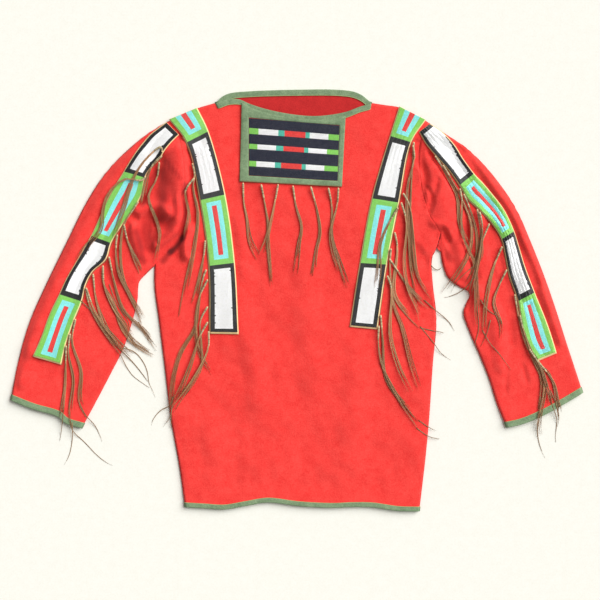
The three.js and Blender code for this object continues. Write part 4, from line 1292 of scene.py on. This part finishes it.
def add_lock(pile, rows, line):
    """One lock: a knot, a wrapped head and fine hairs that fan out to the tip."""
    root = line[np.argmin(np.linalg.norm(line - np.array(rows[:2]), axis=1))]
    curve = spline([*root, *rows[2:]])
    run = length(curve)
    fractions = np.linspace(0, 1, max(12, round(run / LOCK_SPACING)))
    path = along(curve, fractions)
    level = free_level(path[fractions * run > FREE_START])
    heights = resting(path, 2.5) + 0.3 + LOCK_LEVEL * level
    heights += HEAD_RADIUS * np.clip(1.5 - fractions * run / HEAD_LENGTH, 0.35, 1)
    whole = np.column_stack([path, heights])
    head_share = min(0.45, HEAD_LENGTH / run)
    head = along(whole, np.linspace(0.03, head_share, HEAD_RINGS))
    ring = np.arange(HEAD_RINGS)
    ridges = HEAD_RADIUS * (1 + 0.07 * (ring % 2)) * np.interp(ring, [0, 2, 25, 28], [0.8, 1, 0.8, 0.5])
    colour = QUILL[random.integers(0, 3, HEAD_RINGS)] * random.uniform(0.9, 1.1)
    pile.add(*cable(head, ridges, 8, 0.8), np.repeat(colour, 8, axis=0))
    add_knot(pile, head[0], 1.9)
    steps = np.linspace(0, 1, HAIR_STEPS)
    fan = 0.35 + 0.65 * np.sin(steps * math.pi * 0.7) + 0.9 * steps**3
    for bundle in range(BUNDLES):
        lean = (bundle - (BUNDLES - 1) / 2) * random.uniform(0.6, 1.1) * HAIR_SPREAD * 0.7
        swing, phase, pace = random.uniform(0.3, 1.6), random.uniform(0, 6), random.uniform(4, 9)
        bend = lean * fan + swing * np.sin(steps * pace + phase) * steps
        bundle_reach = random.uniform(0.8, 1.0) if bundle else 1.0
        for _ in range(HAIRS // BUNDLES):
            middle = along(whole, mix(head_share * 0.9, bundle_reach * random.uniform(0.9, 1.0), steps))
            side = np.cross(UP, unit(np.gradient(middle, axis=0) * LEVEL))
            shift = bend + np.clip(random.normal(0, 0.6), -1.2, 1.2) * (0.5 + 0.9 * steps)
            stack = random.uniform(0, 1.2) * (1 - 0.6 * steps)
            strand = middle + side * shift[:, None] + UP * stack[:, None]
            radius = HAIR_RADIUS * random.uniform(0.8, 1.25) * np.interp(steps, [0, 0.6, 1], [1, 0.9, 0.35])
            tone = HAIR_BROWNS[random.integers(0, 4)] * random.uniform(0.85, 1.15)
            pile.add(*cable(strand, radius, 3), tone)


def add_wisp(pile, rows):
    """A few hairs together, thinning to a point."""
    curve = spline(rows)
    count = max(8, round(length(curve) / WISP_SPACING))
    path = along(curve, np.linspace(0, 1, count))
    whole = np.column_stack([path, resting(path, 0.5) + 0.5])
    for shift in WISP_SHIFTS:
        strand = along(whole, np.linspace(0, random.uniform(0.7, 1), count))
        strand[:, :2] = offset(strand[:, :2], shift * random.uniform(0.7, 1.3) * np.linspace(1, 0.6, count))
        radius = WISP_RADIUS * np.linspace(1.1, 0.45, count)
        pile.add(*cable(strand, radius, 3), WISP_BROWN * random.uniform(0.8, 1.15))


for place, line in thong_lines.items():
    pile = Pile()
    pile.add(*cable(np.column_stack([line, resting(line, 0.5) + 0.5]), 0.5), THONG)
    for rows in LOCKS[place]:
        add_lock(pile, rows, line)
    for rows in WISPS.get(place, []):
        add_wisp(pile, rows)
    pile.made(f"locks_{place}_hair", hair, "hair", f"locks_{place}")

edge_lines.made("tape_edge_threads", hair, "tape")


# Floor, light and camera
PHOTO_SIDE_PX = 600
PHOTO_MIDDLE_X_PX = 294.5
PHOTO_MIDDLE_Y_PX = 302
MM_PER_PX = 1.9
FLOOR_REACH = 3.0
field = PHOTO_SIDE_PX * MM_PER_PX * MM
centre_x = (PHOTO_SIDE_PX / 2 - PHOTO_MIDDLE_X_PX) * MM_PER_PX * MM
centre_y = (PHOTO_MIDDLE_Y_PX - PHOTO_SIDE_PX / 2) * MM_PER_PX * MM


def linked(name, data):
    made = bpy.data.objects.new(name, data)
    bpy.context.scene.collection.objects.link(made)
    return made


corners = [(x * FLOOR_REACH, y * FLOOR_REACH, 0) for x, y in ((-1, -1), (1, -1), (1, 1), (-1, 1))]
floor_mesh = bpy.data.meshes.new("floor")
floor_mesh.from_pydata(corners, [], [(0, 1, 2, 3)])
floor_mesh.materials.append(floor_cloth)
floor = linked("floor", floor_mesh)
floor.location = (0, 0, -0.0003)

world = bpy.data.worlds.new("studio")
world.use_nodes = True
fill(world.node_tree.nodes["Background"], {"Color": (1, 0.99, 0.97, 1), "Strength": 0.31})
bpy.context.scene.world = world

sun_data = bpy.data.lights.new("softbox", "SUN")
sun_data.energy = 4.05
sun_data.angle = math.radians(50)
sun = linked("softbox", sun_data)
sun.rotation_euler = Vector((0.72, 0.5, 0.72)).to_track_quat("Z", "Y").to_euler()

lens = bpy.data.cameras.new("camera")
lens.lens = 85
lens.sensor_width = 36
lens.clip_end = 20
camera = linked("camera", lens)
camera.location = (centre_x, centre_y, field / 2 / (lens.sensor_width / 2 / lens.lens))
bpy.context.scene.camera = camera
bpy.context.scene.view_settings.view_transform = "Standard"

bpy.context.view_layer.update()
